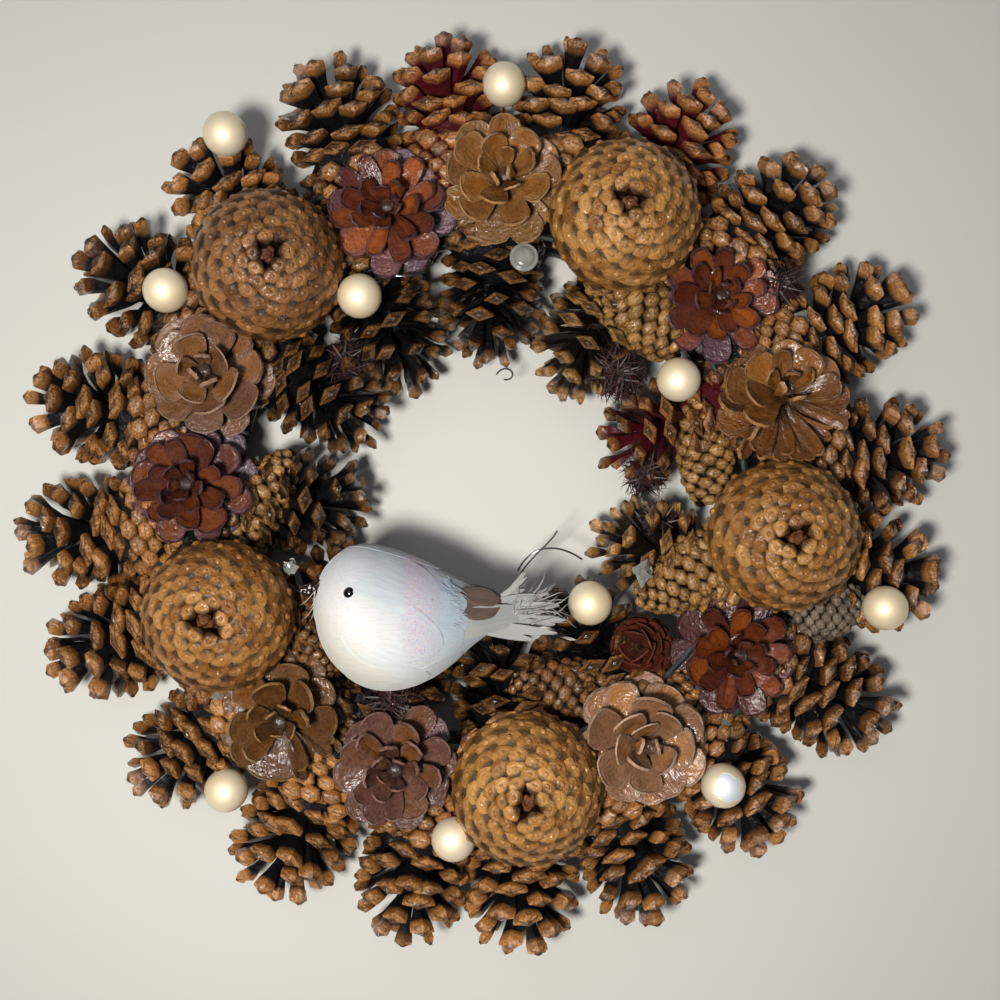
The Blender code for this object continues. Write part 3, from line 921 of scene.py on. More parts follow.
def petal_shape(name, widths, dish, curl):
    """Spatula with a dished bed and a rounded end."""
    petal = leaf_shape(name, 4, PETAL_ROWS, widths, PETAL_LENGTH, PETAL_HALF, curl)
    # Each step moves the points between two shares of the length and of the half width
    for low, high, inner, outer, move in (
            (0.2, 0.9, 0, 0.04, (0, 0, -dish)),
            (-1, 0.9, 0.74, ALL, (0, 0, 0.4 * dish)),
            (0.96, ALL, 0.15, ALL, (0, -0.2, 0)),
            (0.96, ALL, 0.29, ALL, (0, -0.5, 0)),
            (0.88, 0.94, 0.6, ALL, (0, -0.4, 0.15))):
        shift(lambda p: low < p.y / PETAL_LENGTH < high and inner <= abs(p.x) / PETAL_HALF < outer,
              Vector(move) * MM)
    apply_modifier(petal, "SOLIDIFY", thickness=1.0 * MM, offset=-1.0)
    measure(petal)
    return petal


broad_petal = petal_shape("petal_broad", (0.30, 0.46, 0.74, 0.95, 1.0, 0.82, 0.50), 0.8, 1.2)
slim_petal = petal_shape("petal_slim", (0.34, 0.46, 0.60, 0.70, 0.70, 0.57, 0.34), 1.1, 2.0)

# %% [markdown]
# ## Ten flowers, nine stains
# The petals follow the golden angle too, from the flat outermost to the upright innermost.
# Nearly every flower has a stain of its own. Flowers 1 and 7 are tipped up, so that the long
# side scales show below them, edge on, with dark gaps between.

# %% Stains
# Skin dark and light, seed bed, its deep part, rim, and the outermost petals; then how
# rough the varnish is and from which petal inwards the bed shows
STAINS = (
    ("varnished_petal_amber", "613D1C", "835C32", "86511C", "5A3211", "A47A50", "654025"),
    ("varnished_petal_tan", "724824", "926A3C", "84521D", "5C3A15", "B28A5E", "80603A"),
    ("varnished_petal_umber", "523318", "6F4C27", "6C4114", "42270E", "9A784D", "5C422B"),
    ("violet_stained_petal", "50261A", "7A4226", "98501E", "6C2E10", "46303A", "5E4854", 0.16, 0.2),
    ("mauve_stained_petal", "54352E", "72503E", "72481F", "4C2E1C", "906E62", "644A4C", 0.14),
    ("rose_stained_petal", "5B3C2B", "805D43", "784E26", "52351D", "A6876F", "735749"),
    ("pale_rose_stained_petal", "70503A", "9A755A", "986530", "6C4626", "C4A288", "8C6C5A"),
    ("wine_stained_petal", "3E1E1A", "603224", "6C3818", "441E12", "46303A", "503C46", 0.14, 0.15),
    ("rust_stained_petal", "461D11", "6D3518", "833F12", "56250B", "391F23", "4A3237", 0.16, 0.2),
)
PETAL_STAINS = {stain[0]: petal_material(*stain) for stain in STAINS}
# Stain, slot, number of petals, where the slim petals begin, and how broad they all are
FLOWERS = {
    "flower_cone_01": ("varnished_petal_amber", "cut_cone_amber", 30, 0.78, 1.12),
    "flower_cone_02": ("violet_stained_petal", "cut_cone_purple", 38, 0.36, 1.0),
    "flower_cone_03": ("varnished_petal_tan", "cut_cone_tan", 28, 0.80, 1.15),
    "flower_cone_04": ("violet_stained_petal", "cut_cone_purple", 36, 0.40, 1.0),
    "flower_cone_05": ("rose_stained_petal", "cut_cone_mauve", 27, 0.85, 1.3),
    "flower_cone_06": ("wine_stained_petal", "cut_cone_red", 38, 0.50, 1.0),
    "flower_cone_07": ("varnished_petal_umber", "cut_cone_tan", 30, 0.70, 1.12),
    "flower_cone_08": ("mauve_stained_petal", "cut_cone_mauve", 34, 0.60, 1.1),
    "flower_cone_09": ("pale_rose_stained_petal", "cut_cone_tan", 26, 0.92, 1.35),
    "flower_cone_10": ("rust_stained_petal", "cut_cone_red", 36, 0.40, 1.0),
}
print(len(PETAL_STAINS), "stains for", len(FLOWERS), "flowers")

# %% Measures and sawn core of a flower
# Stops from the outermost petal, t = 0, to the innermost, t = 1
FLOWER_ROOT = ((0, 5.0), (1, 17.0))
FLOWER_SPREAD = ((0, 97), (0.35, 84), (0.65, 64), (0.85, 46), (1, 32))
FLOWER_REACH = ((0, 22.8), (0.35, 21.4), (0.65, 17.6), (0.85, 12.5), (1, 7.0))
FLOWER_WIDTH = ((0, 1.0), (0.4, 1.0), (0.7, 0.86), (1, 0.52))
# Headings between which a tipped flower shows its long side scales and no petals
TIPPED = {"flower_cone_01": (226, 346), "flower_cone_07": (292, 350)}

# Sawn core: a short cylinder with an inset, sunken cut face
stub = start_piece("sawn_core", bpy.ops.mesh.primitive_cylinder_add, vertices=12, radius=2.6 * MM,
                   depth=18 * MM, location=(0, 0, 9 * MM))
pick(lambda f: f.normal.z > 0.9)
for inset, sink in ((0.8, -0.7), (0.9, 0.5)):
    bpy.ops.mesh.inset(thickness=inset * MM)
    bpy.ops.transform.translate(value=(0, 0, sink * MM))
store_place(stub, 2.6 * MM, 30 * MM, 18 * MM)
measure(stub)


# %% Grow the flowers
def leaning(axis, spoke, spread):
    """Ways out and up of a petal that leans away from the axis by an angle in degrees."""
    lean = math.radians(spread)
    return spoke * math.sin(lean) + axis * math.cos(lean), axis * math.sin(lean) - spoke * math.cos(lean)


def flower_cone(node, stain, slot, petals, slim_from, broad):
    """Flower of petals around the axis of its plug."""
    start, axis, _, _ = axis_of(node, UP)
    first, second = frame_about(axis)
    phase = rng.uniform(0, 2 * math.pi)
    bare_from, bare_to = TIPPED.get(node, (360, 360))
    pieces = []
    for index in range(petals):
        t = index / (petals - 1)
        spoke = spoke_at(first, second, phase + index * GOLDEN_ANGLE + rng.gauss(0, 0.07))
        if bare_from < math.degrees(math.atan2(spoke.y, spoke.x)) % 360 < bare_to and t < 0.9:
            continue
        out, up = leaning(axis, spoke, between(FLOWER_SPREAD, t) + rng.gauss(0, 6))
        up = up + jitter(0.16)
        root = start + axis * (between(FLOWER_ROOT, t) * MM) + spoke * (1.6 * MM)
        reach = between(FLOWER_REACH, t) * MM / PETAL_LENGTH * rng.uniform(0.92, 1.06)
        width = between(FLOWER_WIDTH, t) * broad * rng.uniform(0.92, 1.12)
        tone = random_tone(0.5, 0.30)
        matrix = seat(root, out, up, width, reach, rng.uniform(0.5, 1.7))
        pieces.append(copy_of(slim_petal if t > slim_from else broad_petal, matrix, tone, t))
    for heading in range(bare_from - 4, bare_to + 4, 9) if node in TIPPED else ():
        # Long side scales, seen from the edge as often as from above
        spoke = spoke_at(Vector((1, 0, 0)), Vector((0, 1, 0)), math.radians(heading))
        out = spoke + UP * rng.uniform(-0.15, 0.45)
        root = start + axis * (rng.uniform(2, 10) * MM) + spoke * (rng.uniform(1, 4) * MM)
        up = UP - spoke * 0.3 + jitter(0.8)
        matrix = seat(root, out, up, rng.uniform(0.55, 0.85), rng.uniform(1.1, 1.5), 1.6)
        pieces.append(copy_of(slim_petal, matrix, rng.uniform(0, 0.5), rng.uniform(0.1, 0.5)))
    pieces.append(copy_of(stub, Matrix.Translation(start) @ matrix_of(first, second, axis), 0.4, 1.0))
    flower = join(node + "_petals", pieces, PETAL_STAINS[stain], smooth_angle=62)
    settle(flower, slot, node)
    print(node, stain, len(flower.data.polygons), "faces")


for node, settings in FLOWERS.items():
    flower_cone(node, *settings)

# %% [markdown]
# ## Pearl beads
# The beads are light plastic spheres with a pearl lacquer, each pushed on to a wire pick
# whose free end is stuck between the cones. A sphere is the right primitive here; its foot
# is then inset and pushed in to drill the hole, and the wire is a short path with a round
# bevel. Pearl lacquer has mica flakes in it, so it is a little metallic under a hard coat.

# %% Pearl lacquer
def pearl_lacquer(name, peel_at=None):
    """Warm pearl lacquer; peel_at is the middle of a place where it has flaked off."""
    made, tree = new_material(name, roughness=0.58, metallic=0.45, coat_weight=0.6, coat_roughness=0.20,
                              subsurface_weight=0.1, subsurface_scale=0.002)
    spot = add_node(tree, "TexCoord", take="Object")
    cloud = add_node(tree, "TexNoise", {"Vector": spot, "Scale": 1 / (14 * MM), "Detail": 2.0})
    tint = add_node(tree, "Mix", {FACTOR: cloud, COLOUR_A: "F0D9A6", COLOUR_B: "FAF3E2"}, data_type="RGBA")
    height = add_node(tree, "TexNoise", {"Vector": spot, "Scale": 1 / (0.7 * MM), "Detail": 3.0})
    if peel_at:
        centred = add_node(tree, "Mapping", {"Vector": spot, "Location": [-c for c in peel_at]})
        away = add_node(tree, "VectorMath", [centred], operation="LENGTH")
        ragged = add_node(tree, "TexNoise", {"Vector": spot, "Scale": 1 / (3 * MM), "Detail": 4.0})
        ragged = add_node(tree, "Math", [ragged, 9 * MM, away], operation="MULTIPLY_ADD")
        peeled = add_node(tree, "MapRange", [ragged, 9.4 * MM, 9.9 * MM, 1, 0])
        tint = add_node(tree, "Mix", {FACTOR: peeled, COLOUR_A: tint, COLOUR_B: "EEF3FA"}, data_type="RGBA")
        height = add_node(tree, "Math", [height, 0.1, peeled], operation="MULTIPLY_ADD")
    relief = add_node(tree, "Bump", {"Height": height, "Strength": 0.5 if peel_at else 0.05,
                                     "Distance": 0.3 * MM}, invert=bool(peel_at))
    feed(made, base_color=tint, normal=relief)
    return made


# %% Model the picks
PICK_RADIUS = 0.45 * MM
LOOSE_RADIUS = 0.35 * MM
RING_EDGE = 110 * MM                # beads further out than this lean inwards
# Steps of a pick from the foot of its bead, in millimetres: across and down
PICK_STEPS = ((0, 1.0), (0.5, -3), (2.5, -7), (6, -11), (10, -13))


def wire_path(points, radius):
    """Round wire through five points: a path with a bevel, turned into a mesh."""
    deselect()
    bpy.ops.curve.primitive_nurbs_path_add()
    wire = bpy.context.object.data
    for control, point in zip(wire.splines[0].points, points):
        control.co = (*point, 1.0)
    wire.bevel_depth = radius
    wire.bevel_resolution = 1
    wire.use_fill_caps = True
    wire.splines[0].resolution_u = 5
    bpy.ops.object.convert(target="MESH")
    return bpy.context.object


# %% Model the beads
def pearl_bead(node, material):
    """Sphere with a drilled foot, in the place of its plug; gives back the way of its pick."""
    low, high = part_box(node)
    middle = middle_of(node)
    radius = (high.z - low.z) / 2
    pearl = start_piece("pearl", bpy.ops.mesh.primitive_uv_sphere_add, segments=28, ring_count=20,
                        radius=radius, location=middle)
    pick(lambda f: f.normal.z < -0.985)
    bpy.ops.mesh.inset(thickness=0.25 * MM)
    bpy.ops.mesh.extrude_region_move(TRANSFORM_OT_translate={"value": (0, 0, 1.5 * MM)})
    settle(join(node + "_bead", [pearl], material, smooth_angle=50), "pearl_coat", node)
    # The pick leans towards the middle of the cones, where the glue holds it.
    away = Vector((middle.x - ring_middle.x, middle.y - ring_middle.y, 0))
    inwards = away.normalized() * (-1 if away.length > RING_EDGE else 1)
    foot = middle - UP * (radius - 1 * MM)
    return [foot + inwards * (across * MM) + UP * (down * MM) for across, down in PICK_STEPS]


pearl_nodes = sorted(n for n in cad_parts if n.startswith("pearl"))
lacquer = pearl_lacquer("pearl_lacquer")
flaked = pearl_lacquer("pearl_lacquer_flaked", middle_of("pearl_08") + Vector((0.5, 0.5, 8)) * MM)
pick_wires = []
for node in pearl_nodes:
    route = pearl_bead(node, flaked if node == "pearl_08" else lacquer)
    pick_wires.append(wire_path(route, PICK_RADIUS))
print(len(pearl_nodes), "beads")

# %% [markdown]
# ## Coated wire
# The frame under it all is florist's wire in a dark green-black plastic coat, and the picks
# and twists are thinner bare wire. The frame's own solid has the right shape already, so it
# stays and only its material is made better.

# %% Wire finishes
def clouded(name, size, detail, dark, light, low=0.0, high=1.0, **settings):
    """Material of two colours, clouded by noise of a size in millimetres.

    It goes from dark to light between the low and the high value of the noise.
    """
    made, tree = new_material(name, **settings)
    spot = add_node(tree, "TexCoord", take="Object")
    cloud = add_node(tree, "TexNoise", {"Vector": spot, "Scale": 1 / (size * MM), "Detail": detail})
    cloud = add_node(tree, "MapRange", [cloud, low, high])
    tint = add_node(tree, "Mix", {FACTOR: cloud, COLOUR_A: dark, COLOUR_B: light}, data_type="RGBA")
    feed(made, base_color=tint)
    return made


# A plastic coat has a soft sheen and is rubbed paler in patches
coated = clouded("green_black_plastic_coat", 5, 4, "18201C", "34423C", 0.45, 0.7, roughness=0.34,
                 coat_weight=0.3)
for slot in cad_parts["wire_frame"].material_slots:
    slot.material = coated
# Bare steel mirrors what is around it, dulled in streaks
bare_wire = clouded("bare_florist_wire", 2, 3, "6E7072", "B9BCBE", roughness=0.32, metallic=1.0)
print("wire finishes:", coated.name, bare_wire.name)

# %% Model the loose ends
# Loose ends, five points each, in millimetres from the middle of the ring
LOOSE_ENDS = (
    ((4, 44, 20), (7, 48, 24), (12, 45, 27), (11, 41, 24), (7, 42, 20)),
    ((12, -30, 30), (15, -23, 36), (21, -19, 37), (29, -21, 34), (36, -26, 26)),
    ((13, -31, 30), (16, -26, 34), (20, -22, 36), (24, -19, 38), (26, -15, 40)),
    ((72, -85, 40), (79, -83, 44), (82, -89, 46), (77, -95, 44), (74, -101, 38)),
    ((-22, 80, 34), (-27, 77, 40), (-34, 76, 41), (-40, 79, 38), (-45, 84, 30)),
)
for points in LOOSE_ENDS:
    pick_wires.append(wire_path([from_middle(*point) for point in points], LOOSE_RADIUS))
wires = join("florist_wire", pick_wires, bare_wire, smooth_angle=60)
settle(wires, None)
measure(wires)

# %% [markdown]
# ## The feathered bird
# Craft birds of this kind are a carved foam egg with real white feathers glued on from the
# tail forwards, so the coat is smooth over the breast and only breaks into single vanes on
# the back. The body is extruded station by station from a short cylinder, face to rump,
# and a Subdivision Surface rounds it.

# %% Model the body
# Stations from the middle of the plug, in millimetres: along, aside, half width, half depth
BIRD_STATIONS = (
    (-29.4, 3.3, 5.2, 4.6), (-28.4, 3.1, 11.2, 9.6), (-25.2, 2.4, 17.2, 15.0),
    (-19.8, 1.7, 22.6, 19.8), (-12.4, 0.6, 25.9, 22.6), (-4.6, -1.2, 25.6, 22.4),
    (6.4, -2.0, 22.6, 20.0), (15.6, -1.8, 17.4, 15.6), (22.8, -0.6, 11.8, 10.4),
    (28.0, 0.6, 8.6, 7.2), (33.0, 0.8, 5.6, 4.2),
)
bird_middle = middle_of("bird_body")


def bird_point(along, angle, proud=0.0):
    """Point on the body at a distance along and an angle from its side, and the way out."""
    aside, wide, deep = [between([(s[0], s[part]) for s in BIRD_STATIONS], along) for part in (1, 2, 3)]
    wide, deep = wide + proud, deep + proud
    turn = math.radians(angle)
    point = Vector((along, aside + wide * math.cos(turn), deep * math.sin(turn))) * MM
    normal = Vector((0, math.cos(turn) / wide, math.sin(turn) / deep)).normalized()
    return bird_middle + point, normal


face = BIRD_STATIONS[0]
body = start_piece("bird_feather_coat", bpy.ops.mesh.primitive_cylinder_add, vertices=16,
                   radius=face[2] * MM, depth=0.8 * MM, location=(face[0] * MM, face[1] * MM, 0),
                   rotation=(0, math.pi / 2, 0))
pick(lambda f: f.normal.x > 0.9)
for before, station in zip(BIRD_STATIONS, BIRD_STATIONS[1:]):
    grow_end((station[0] - before[0], station[1] - before[1], 0),
             (1, station[2] / before[2], station[3] / before[3]))
shift(lambda p: True, bird_middle)
apply_modifier(body, "SUBSURF", levels=3, render_levels=3)
measure(body)

# %% [markdown]
# ## Feather
# White down is matt and a little see-through, with barbs about a third of a millimetre
# apart, drawn here at twice that so that they show. It is ivory on the breast, with painted
# cool shade on the back. A band of fine pink and blue glitter was dusted over the wings.

# %% Feather material
def feather_material(name, along_vane=True, white="CDCDCB", shade="97A6B6"):
    """Barbed white feather; barbs follow the vane's own numbers or run back along the body."""
    made, tree = new_material(name, sheen_weight=0.25, subsurface_weight=0.12, subsurface_scale=0.003)
    spot = add_node(tree, "TexCoord", take="Object")
    centred = add_node(tree, "Mapping", {"Vector": spot, "Location": [-c for c in bird_middle]})
    along, aside = add_node(tree, "SeparateXYZ", [centred], take=("X", "Y"))
    cloud = add_node(tree, "TexNoise", {"Vector": spot, "Scale": 1 / (12 * MM), "Detail": 3.0})
    # Painted shade, cool towards the back and the tail; ivory towards the breast
    slope = add_node(tree, "Math", [aside, 0.9, along], operation="MULTIPLY_ADD")
    slope = add_node(tree, "Math", [cloud, 22 * MM, slope], operation="MULTIPLY_ADD")
    cool_shade = add_node(tree, "MapRange", [slope, -4 * MM, 40 * MM, 0, 0.9])
    warm = add_node(tree, "MapRange", [slope, -52 * MM, -4 * MM, 0.95, 0])
    # Barbs, as fine lines along each vane or along the body
    lie = add_node(tree, "Attribute", take="Vector", attribute_name="place") if along_vane else centred
    barbs = add_node(tree, "Mapping", {"Vector": lie, "Scale": (9, 3, 1) if along_vane else
                                       (45, 1 / (0.7 * MM), 1 / (0.7 * MM))})
    barbs = add_node(tree, "TexNoise", {"Vector": barbs, "Scale": 1.0, "Detail": 3.0, "Roughness": 0.6})
    lines = add_node(tree, "MapRange", [barbs, 0.3, 0.55, 0.90, 1])
    # Glitter: cells under a millimetre, thickest in the middle of a band over the wings
    dot, chance = add_node(tree, "TexVoronoi", {"Vector": spot, "Scale": 1 / (0.6 * MM)},
                           take=("Distance", "Color"))
    dot = add_node(tree, "MapRange", [dot, 0.34, 0.42, 1, 0])
    chance, hue = add_node(tree, "SeparateXYZ", [chance], take=("X", "Y"))
    away = add_node(tree, "Math", [cloud, 10 * MM, along], operation="MULTIPLY_ADD")
    away = add_node(tree, "MapRange", [away, 5 * MM, 22 * MM])
    band = add_node(tree, "ValToRGB", [away], stops=((0.0, 0.0), (0.2, 0.85), (0.6, 0.7), (0.95, 0.0)))
    level = add_node(tree, "MapRange", [aside, -16 * MM, -6 * MM])
    band = add_node(tree, "Math", [band, level], operation="MULTIPLY")
    blush = add_node(tree, "Math", [band, 0.5], operation="MULTIPLY")
    sown = add_node(tree, "Math", [chance, band], operation="LESS_THAN")
    dot = add_node(tree, "Math", [dot, sown], operation="MULTIPLY")
    foil = add_node(tree, "Mix", {FACTOR: hue, COLOUR_A: "CC8FA0", COLOUR_B: "9FB2E0"}, data_type="RGBA")
    tint = white
    for mask, over, blend in ((cool_shade, shade, "MIX"), (warm, "B2A67A", "MIX"), (1.0, lines, "MULTIPLY"),
                              (blush, "C4AAB2", "MIX"), (dot, foil, "MIX")):
        tint = add_node(tree, "Mix", {FACTOR: mask, COLOUR_A: tint, COLOUR_B: over}, data_type="RGBA",
                        blend_type=blend)
    gloss = add_node(tree, "MapRange", [dot, 0, 1, 0.75, 0.2])
    relief = add_node(tree, "Bump", {"Height": barbs, "Strength": 0.35, "Distance": 0.4 * MM})
    feed(made, base_color=tint, roughness=gloss, normal=relief)
    return made


# %% Feather finishes
down = feather_material("white_goose_down", along_vane=False)
vane_white = feather_material("white_goose_vane")
# Its shade colour is painted shade, as on the other feathers
vane_grey = feather_material("grey_white_tail_vane", white="BDBBB4", shade="8F908E")
# Dyed feather is quite matt, and its barbs show as streaks of two browns
vane_brown, tree = new_material("brown_dyed_vane", roughness=0.8, sheen_weight=0.2)
place = add_node(tree, "Attribute", take="Vector", attribute_name="place")
barbs = add_node(tree, "Mapping", {"Vector": place, "Scale": (14.0, 3.0, 1.0)})
barbs = add_node(tree, "TexNoise", {"Vector": barbs, "Scale": 1.0, "Detail": 3.0})
tint = add_node(tree, "Mix", {FACTOR: barbs, COLOUR_A: "3C2E27", COLOUR_B: "6A5648"}, data_type="RGBA")
feed(vane_brown, base_color=tint)
body = join("bird_feather_coat", [body], down, smooth_angle=180)
settle(body, "white_feather", "bird_body")
print("feather finishes:", [m.name for m in (down, vane_white, vane_grey, vane_brown)])

# %% [markdown]
# ## Wing and back vanes
# A single vane is a thin blade, like the petals, with a ragged tip. Two rows of them lie
# round the back of the bird. They are laid roughly in place and a Shrinkwrap then presses
# the whole row on to the body, as the glue did.

# %% Model one vane
VANE_LENGTH = 26 * MM
VANE_HALF = 7.5 * MM
VANE_CURL = 2.2


def vane_shape(name, widths, notch):
    """Thin blade with split barbs: some points of its free end are drawn back."""
    rows = [number / (len(widths) - 1) for number in range(len(widths))]
    vane = leaf_shape(name, 6, rows, widths, VANE_LENGTH, VANE_HALF, VANE_CURL)
    ragged = random.Random(5)
    shift(lambda p: p.y > 0.82 * VANE_LENGTH and ragged.random() < 0.4, (0, -notch * MM, 0))
    deselect()
    return vane


BROAD_VANE = (0.25, 0.62, 0.86, 0.97, 1.0, 1.0, 0.98, 0.93, 0.84, 0.68, 0.42)
SLIM_VANE = (0.20, 0.26, 0.33, 0.38, 0.40, 0.40, 0.38, 0.34, 0.28, 0.19, 0.08)
broad_vane = vane_shape("vane_broad", BROAD_VANE, 0.9)
slim_vane = vane_shape("vane_slim", SLIM_VANE, 1.6)
measure(broad_vane)
measure(slim_vane)


# %% Lay the rows of vanes
def vane_row(name, along, count, length, width, offset, start_angle, veer=0.0):
    """Row of vanes around the body, pointing to the tail, pressed on at a small offset."""
    pieces = []
    for index in range(count):
        angle = start_angle + 360 * index / count + rng.gauss(0, 3)
        root, normal = bird_point(along + rng.gauss(0, 0.8), angle)
        ahead, _ = bird_point(along + 14, angle + veer)
        size = rng.uniform(0.92, 1.08)
        matrix = seat(root, ahead - root, normal, width * size, length * size, 1.0)
        pieces.append(copy_of(broad_vane, matrix))
    row = join(name, pieces, vane_white, smooth_angle=40)
    apply_modifier(row, "SHRINKWRAP", target=body, wrap_method="NEAREST_SURFACEPOINT",
                   wrap_mode="ON_SURFACE", offset=offset)
    apply_modifier(row, "SOLIDIFY", thickness=0.12 * MM, offset=1.0)
    return row


rump_row = vane_row("rump_vanes", 2.0, 8, 0.98, 1.25, 0.10 * MM, 20)
wing_row = vane_row("wing_vanes", -19.0, 7, 1.60, 1.75, 0.22 * MM, 34, veer=10)
measure(rump_row)
measure(wing_row)

# %% [markdown]
# ## Tail, brown patch and loose barbs
# The tail is a loose bunch of slim vanes and broken barbs. A brown vane shows where the
# back meets the tail. Each loose barb is a three-sided spike, bent once.

# %% Model a loose barb
barb = start_piece("loose_barb", bpy.ops.mesh.primitive_cylinder_add, vertices=3, radius=0.22 * MM,
                   depth=4 * MM, location=(0, 2 * MM, 0), rotation=(-math.pi / 2, 0, 0))
pick(lambda f: f.normal.y > 0.9)
grow_end((0.6, 3.1, 0.8), (0.7, 1, 0.7))
grow_end((1.5, 2.2, 1.4), (0.25, 1, 0.25))
store_place(barb, 0.22 * MM, 10 * MM, 0.22 * MM)
measure(barb)

# %% Lay the tail vanes
tail_root = middle_of("bird_tail") + Vector((0, 1.5 * MM, 0))
tail_root.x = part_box("bird_tail")[0].x - 1 * MM


def fan(heading, tilt):
    """Direction with a heading from straight back and a tilt from level, in degrees."""
    turn, rise = math.radians(heading), math.radians(tilt)
    return Vector((math.cos(turn) * math.cos(rise), math.sin(turn) * math.cos(rise), math.sin(rise)))


def thin_vanes(name, pieces, material, wall):
    """Join vanes and give them their thickness."""
    vanes = join(name, pieces, material, smooth_angle=40)
    apply_modifier(vanes, "SOLIDIFY", thickness=wall * MM)
    return vanes


# Heading, tilt, length, width, start back from the root and aside, in millimetres
TAIL_VANES = (
    (2, 3, 1.18, 0.50, -2, -2), (-3, 4, 1.15, 0.52, -4, -4), (-8, 2, 0.90, 0.50, -5, -5),
    (5, -2, 1.10, 0.48, -2, 0), (10, 6, 0.95, 0.42, -1, 2), (0, -4, 1.12, 0.5, -4, -3),
    (17, 10, 0.70, 0.36, 1, 3), (-5, -6, 0.95, 0.5, -4, -5), (7, 8, 0.98, 0.42, 0, 1),
    (26, 14, 0.55, 0.30, 2, 4), (38, 18, 0.62, 0.26, 4, 4), (52, 14, 0.52, 0.24, 7, 5),
    (64, 8, 0.44, 0.22, 9, 5),
)
pieces = []
for heading, tilt, length, width, back, aside in TAIL_VANES:
    root = tail_root + Vector((back, aside, rng.uniform(-1.5, 1.5))) * MM
    up = UP + jitter(0.25)
    pieces.append(copy_of(slim_vane, seat(root, fan(heading, tilt), up, width * 1.2, length, 1.2)))
tail = thin_vanes("tail_vanes", pieces, vane_grey, 0.18)

pieces = []
for angle, aside, width in ((82, 1.5, 0.36), (94, 0.3, 0.38), (106, -1.0, 0.36)):
    # Longer feathers lead over from the rump to the tail
    root, normal = bird_point(18.0, angle, proud=0.3)
    out = tail_root + Vector((13, aside, 1.0)) * MM - root
    pieces.append(copy_of(broad_vane, seat(root, out, normal, width, out.length / VANE_LENGTH, 0.3)))
lead = thin_vanes("lead_vanes", pieces, vane_grey, 0.18)
measure(lead)

# %% Scatter the broken barbs
BROKEN_BARBS = 56
STRAY_BARBS = 7

pieces = []
for index in range(BROKEN_BARBS):
    # Broken barbs, thickest on the upper side of the tail
    heading = rng.triangular(-10, 75, 18)
    root = tail_root + Vector((rng.uniform(7, 19), rng.gauss(1, 2.5), rng.gauss(1.5, 1.2))) * MM
    up = jitter(1)
    length = rng.uniform(0.6, 1.7)
    pieces.append(copy_of(barb, seat(root, fan(heading, rng.gauss(8, 12)), up, 1.0, length, 1.6)))
for index in range(STRAY_BARBS):
    # A few more stray from under the beak
    root, _ = bird_point(-28.6 + rng.uniform(0, 1), rng.uniform(70, 115))
    root += Vector((0, rng.uniform(2, 6), 0)) * MM
    out = fan(rng.uniform(230, 275), rng.gauss(10, 8))
    pieces.append(copy_of(barb, seat(root, out, UP, 0.45, rng.uniform(0.4, 0.8), 0.6)))
barbs = join("loose_barbs", pieces, vane_grey, smooth_angle=60)
measure(barbs)
settle(join("bird_back_vanes", [rump_row, wing_row], vane_white, smooth_angle=40), "white_feather")
tail = join("bird_tail_vanes", [tail, lead, barbs], vane_grey, smooth_angle=40)
settle(tail, "white_feather", "bird_tail")
measure(tail)

# %% Lay the brown vane
FRINGE_BARBS = 46

pieces = []
for along, angle, veer, width, length in ((20.5, 66, -4, 0.80, 0.62), (21.5, 44, -2, 0.60, 0.56)):
    root, normal = bird_point(along, angle, proud=0.9)
    ahead, _ = bird_point(along + 8, angle + veer, proud=0.9)
    pieces.append(copy_of(broad_vane, seat(root, ahead - root, normal, width, length, 0.4)))
brown = thin_vanes("bird_brown_vane", pieces, vane_brown, 0.25)
settle(brown, "white_feather")

pieces = []
for index in range(FRINGE_BARBS):
    # White barbs reach over the front edge of the brown vane
    root, normal = bird_point(rng.uniform(14.5, 17.5), rng.uniform(24, 92), proud=1.3)
    ahead, _ = bird_point(24, rng.uniform(24, 92), proud=1.6)
    pieces.append(copy_of(barb, seat(root, ahead - root, normal, 1.0, rng.uniform(0.5, 0.85), 0.5)))
fringe = join("bird_fringe_barbs", pieces, vane_white, smooth_angle=60)
settle(fringe, "white_feather")
measure(brown)
measure(fringe)

# %% [markdown]
# ## Beak and eyes
# The beak is two moulded half cones that stand a little open, and each eye is a glass bead
# pressed into the down. Black glass needs nothing but a hard, clear surface.

# %% Model the beak
# Glossy dark paint with pale spots of a millimetre
horn = clouded("dark_painted_beak", 1.1, 3, "1C1012", "C9C4C0", 0.60, 0.64, roughness=0.28,
               coat_weight=0.6, coat_roughness=0.08)
# Black glass shows hardly any colour, only a small hard highlight
glass = clouded("black_glass_eye", 3, 2, "050505", "14100E", roughness=0.04, coat_weight=1.0,
                coat_roughness=0.02)
beak_base = middle_of("bird_beak") + Vector((7.6, 0.6, 6.5)) * MM
HALF_GAP = 0.9 * MM                 # from the middle of the beak to the root of each half


def half_beak(side, length, open_angle):
    """One mandible: a cone pressed flat and bent a little at its tip."""
    half = start_piece("half_beak", bpy.ops.mesh.primitive_cone_add, vertices=12, radius1=4.0 * MM,
                       radius2=2.8 * MM, depth=0.5 * length * MM, location=(0, 0.25 * length * MM, 0),
                       rotation=(-math.pi / 2, 0, 0))
    pick(lambda f: True)
    bpy.ops.transform.resize(value=(1.0, 1, 0.62))
    pick(lambda f: f.normal.y > 0.9)
    grow_end((0, 0.3 * length, -0.25), (0.6, 1, 0.6))
    grow_end((0, 0.2 * length, -0.45), (0.25, 1, 0.3))
    deselect()
    # Local y runs out of the face, z is the outer side of the half.
    turn = math.radians(open_angle)
    tip = Vector((-math.cos(turn), side * math.sin(turn), 0))
    outer = Vector((0, side, 0))
    half.data.transform(seat(beak_base + outer * HALF_GAP, tip, outer, 1, 1, 1))
    return half


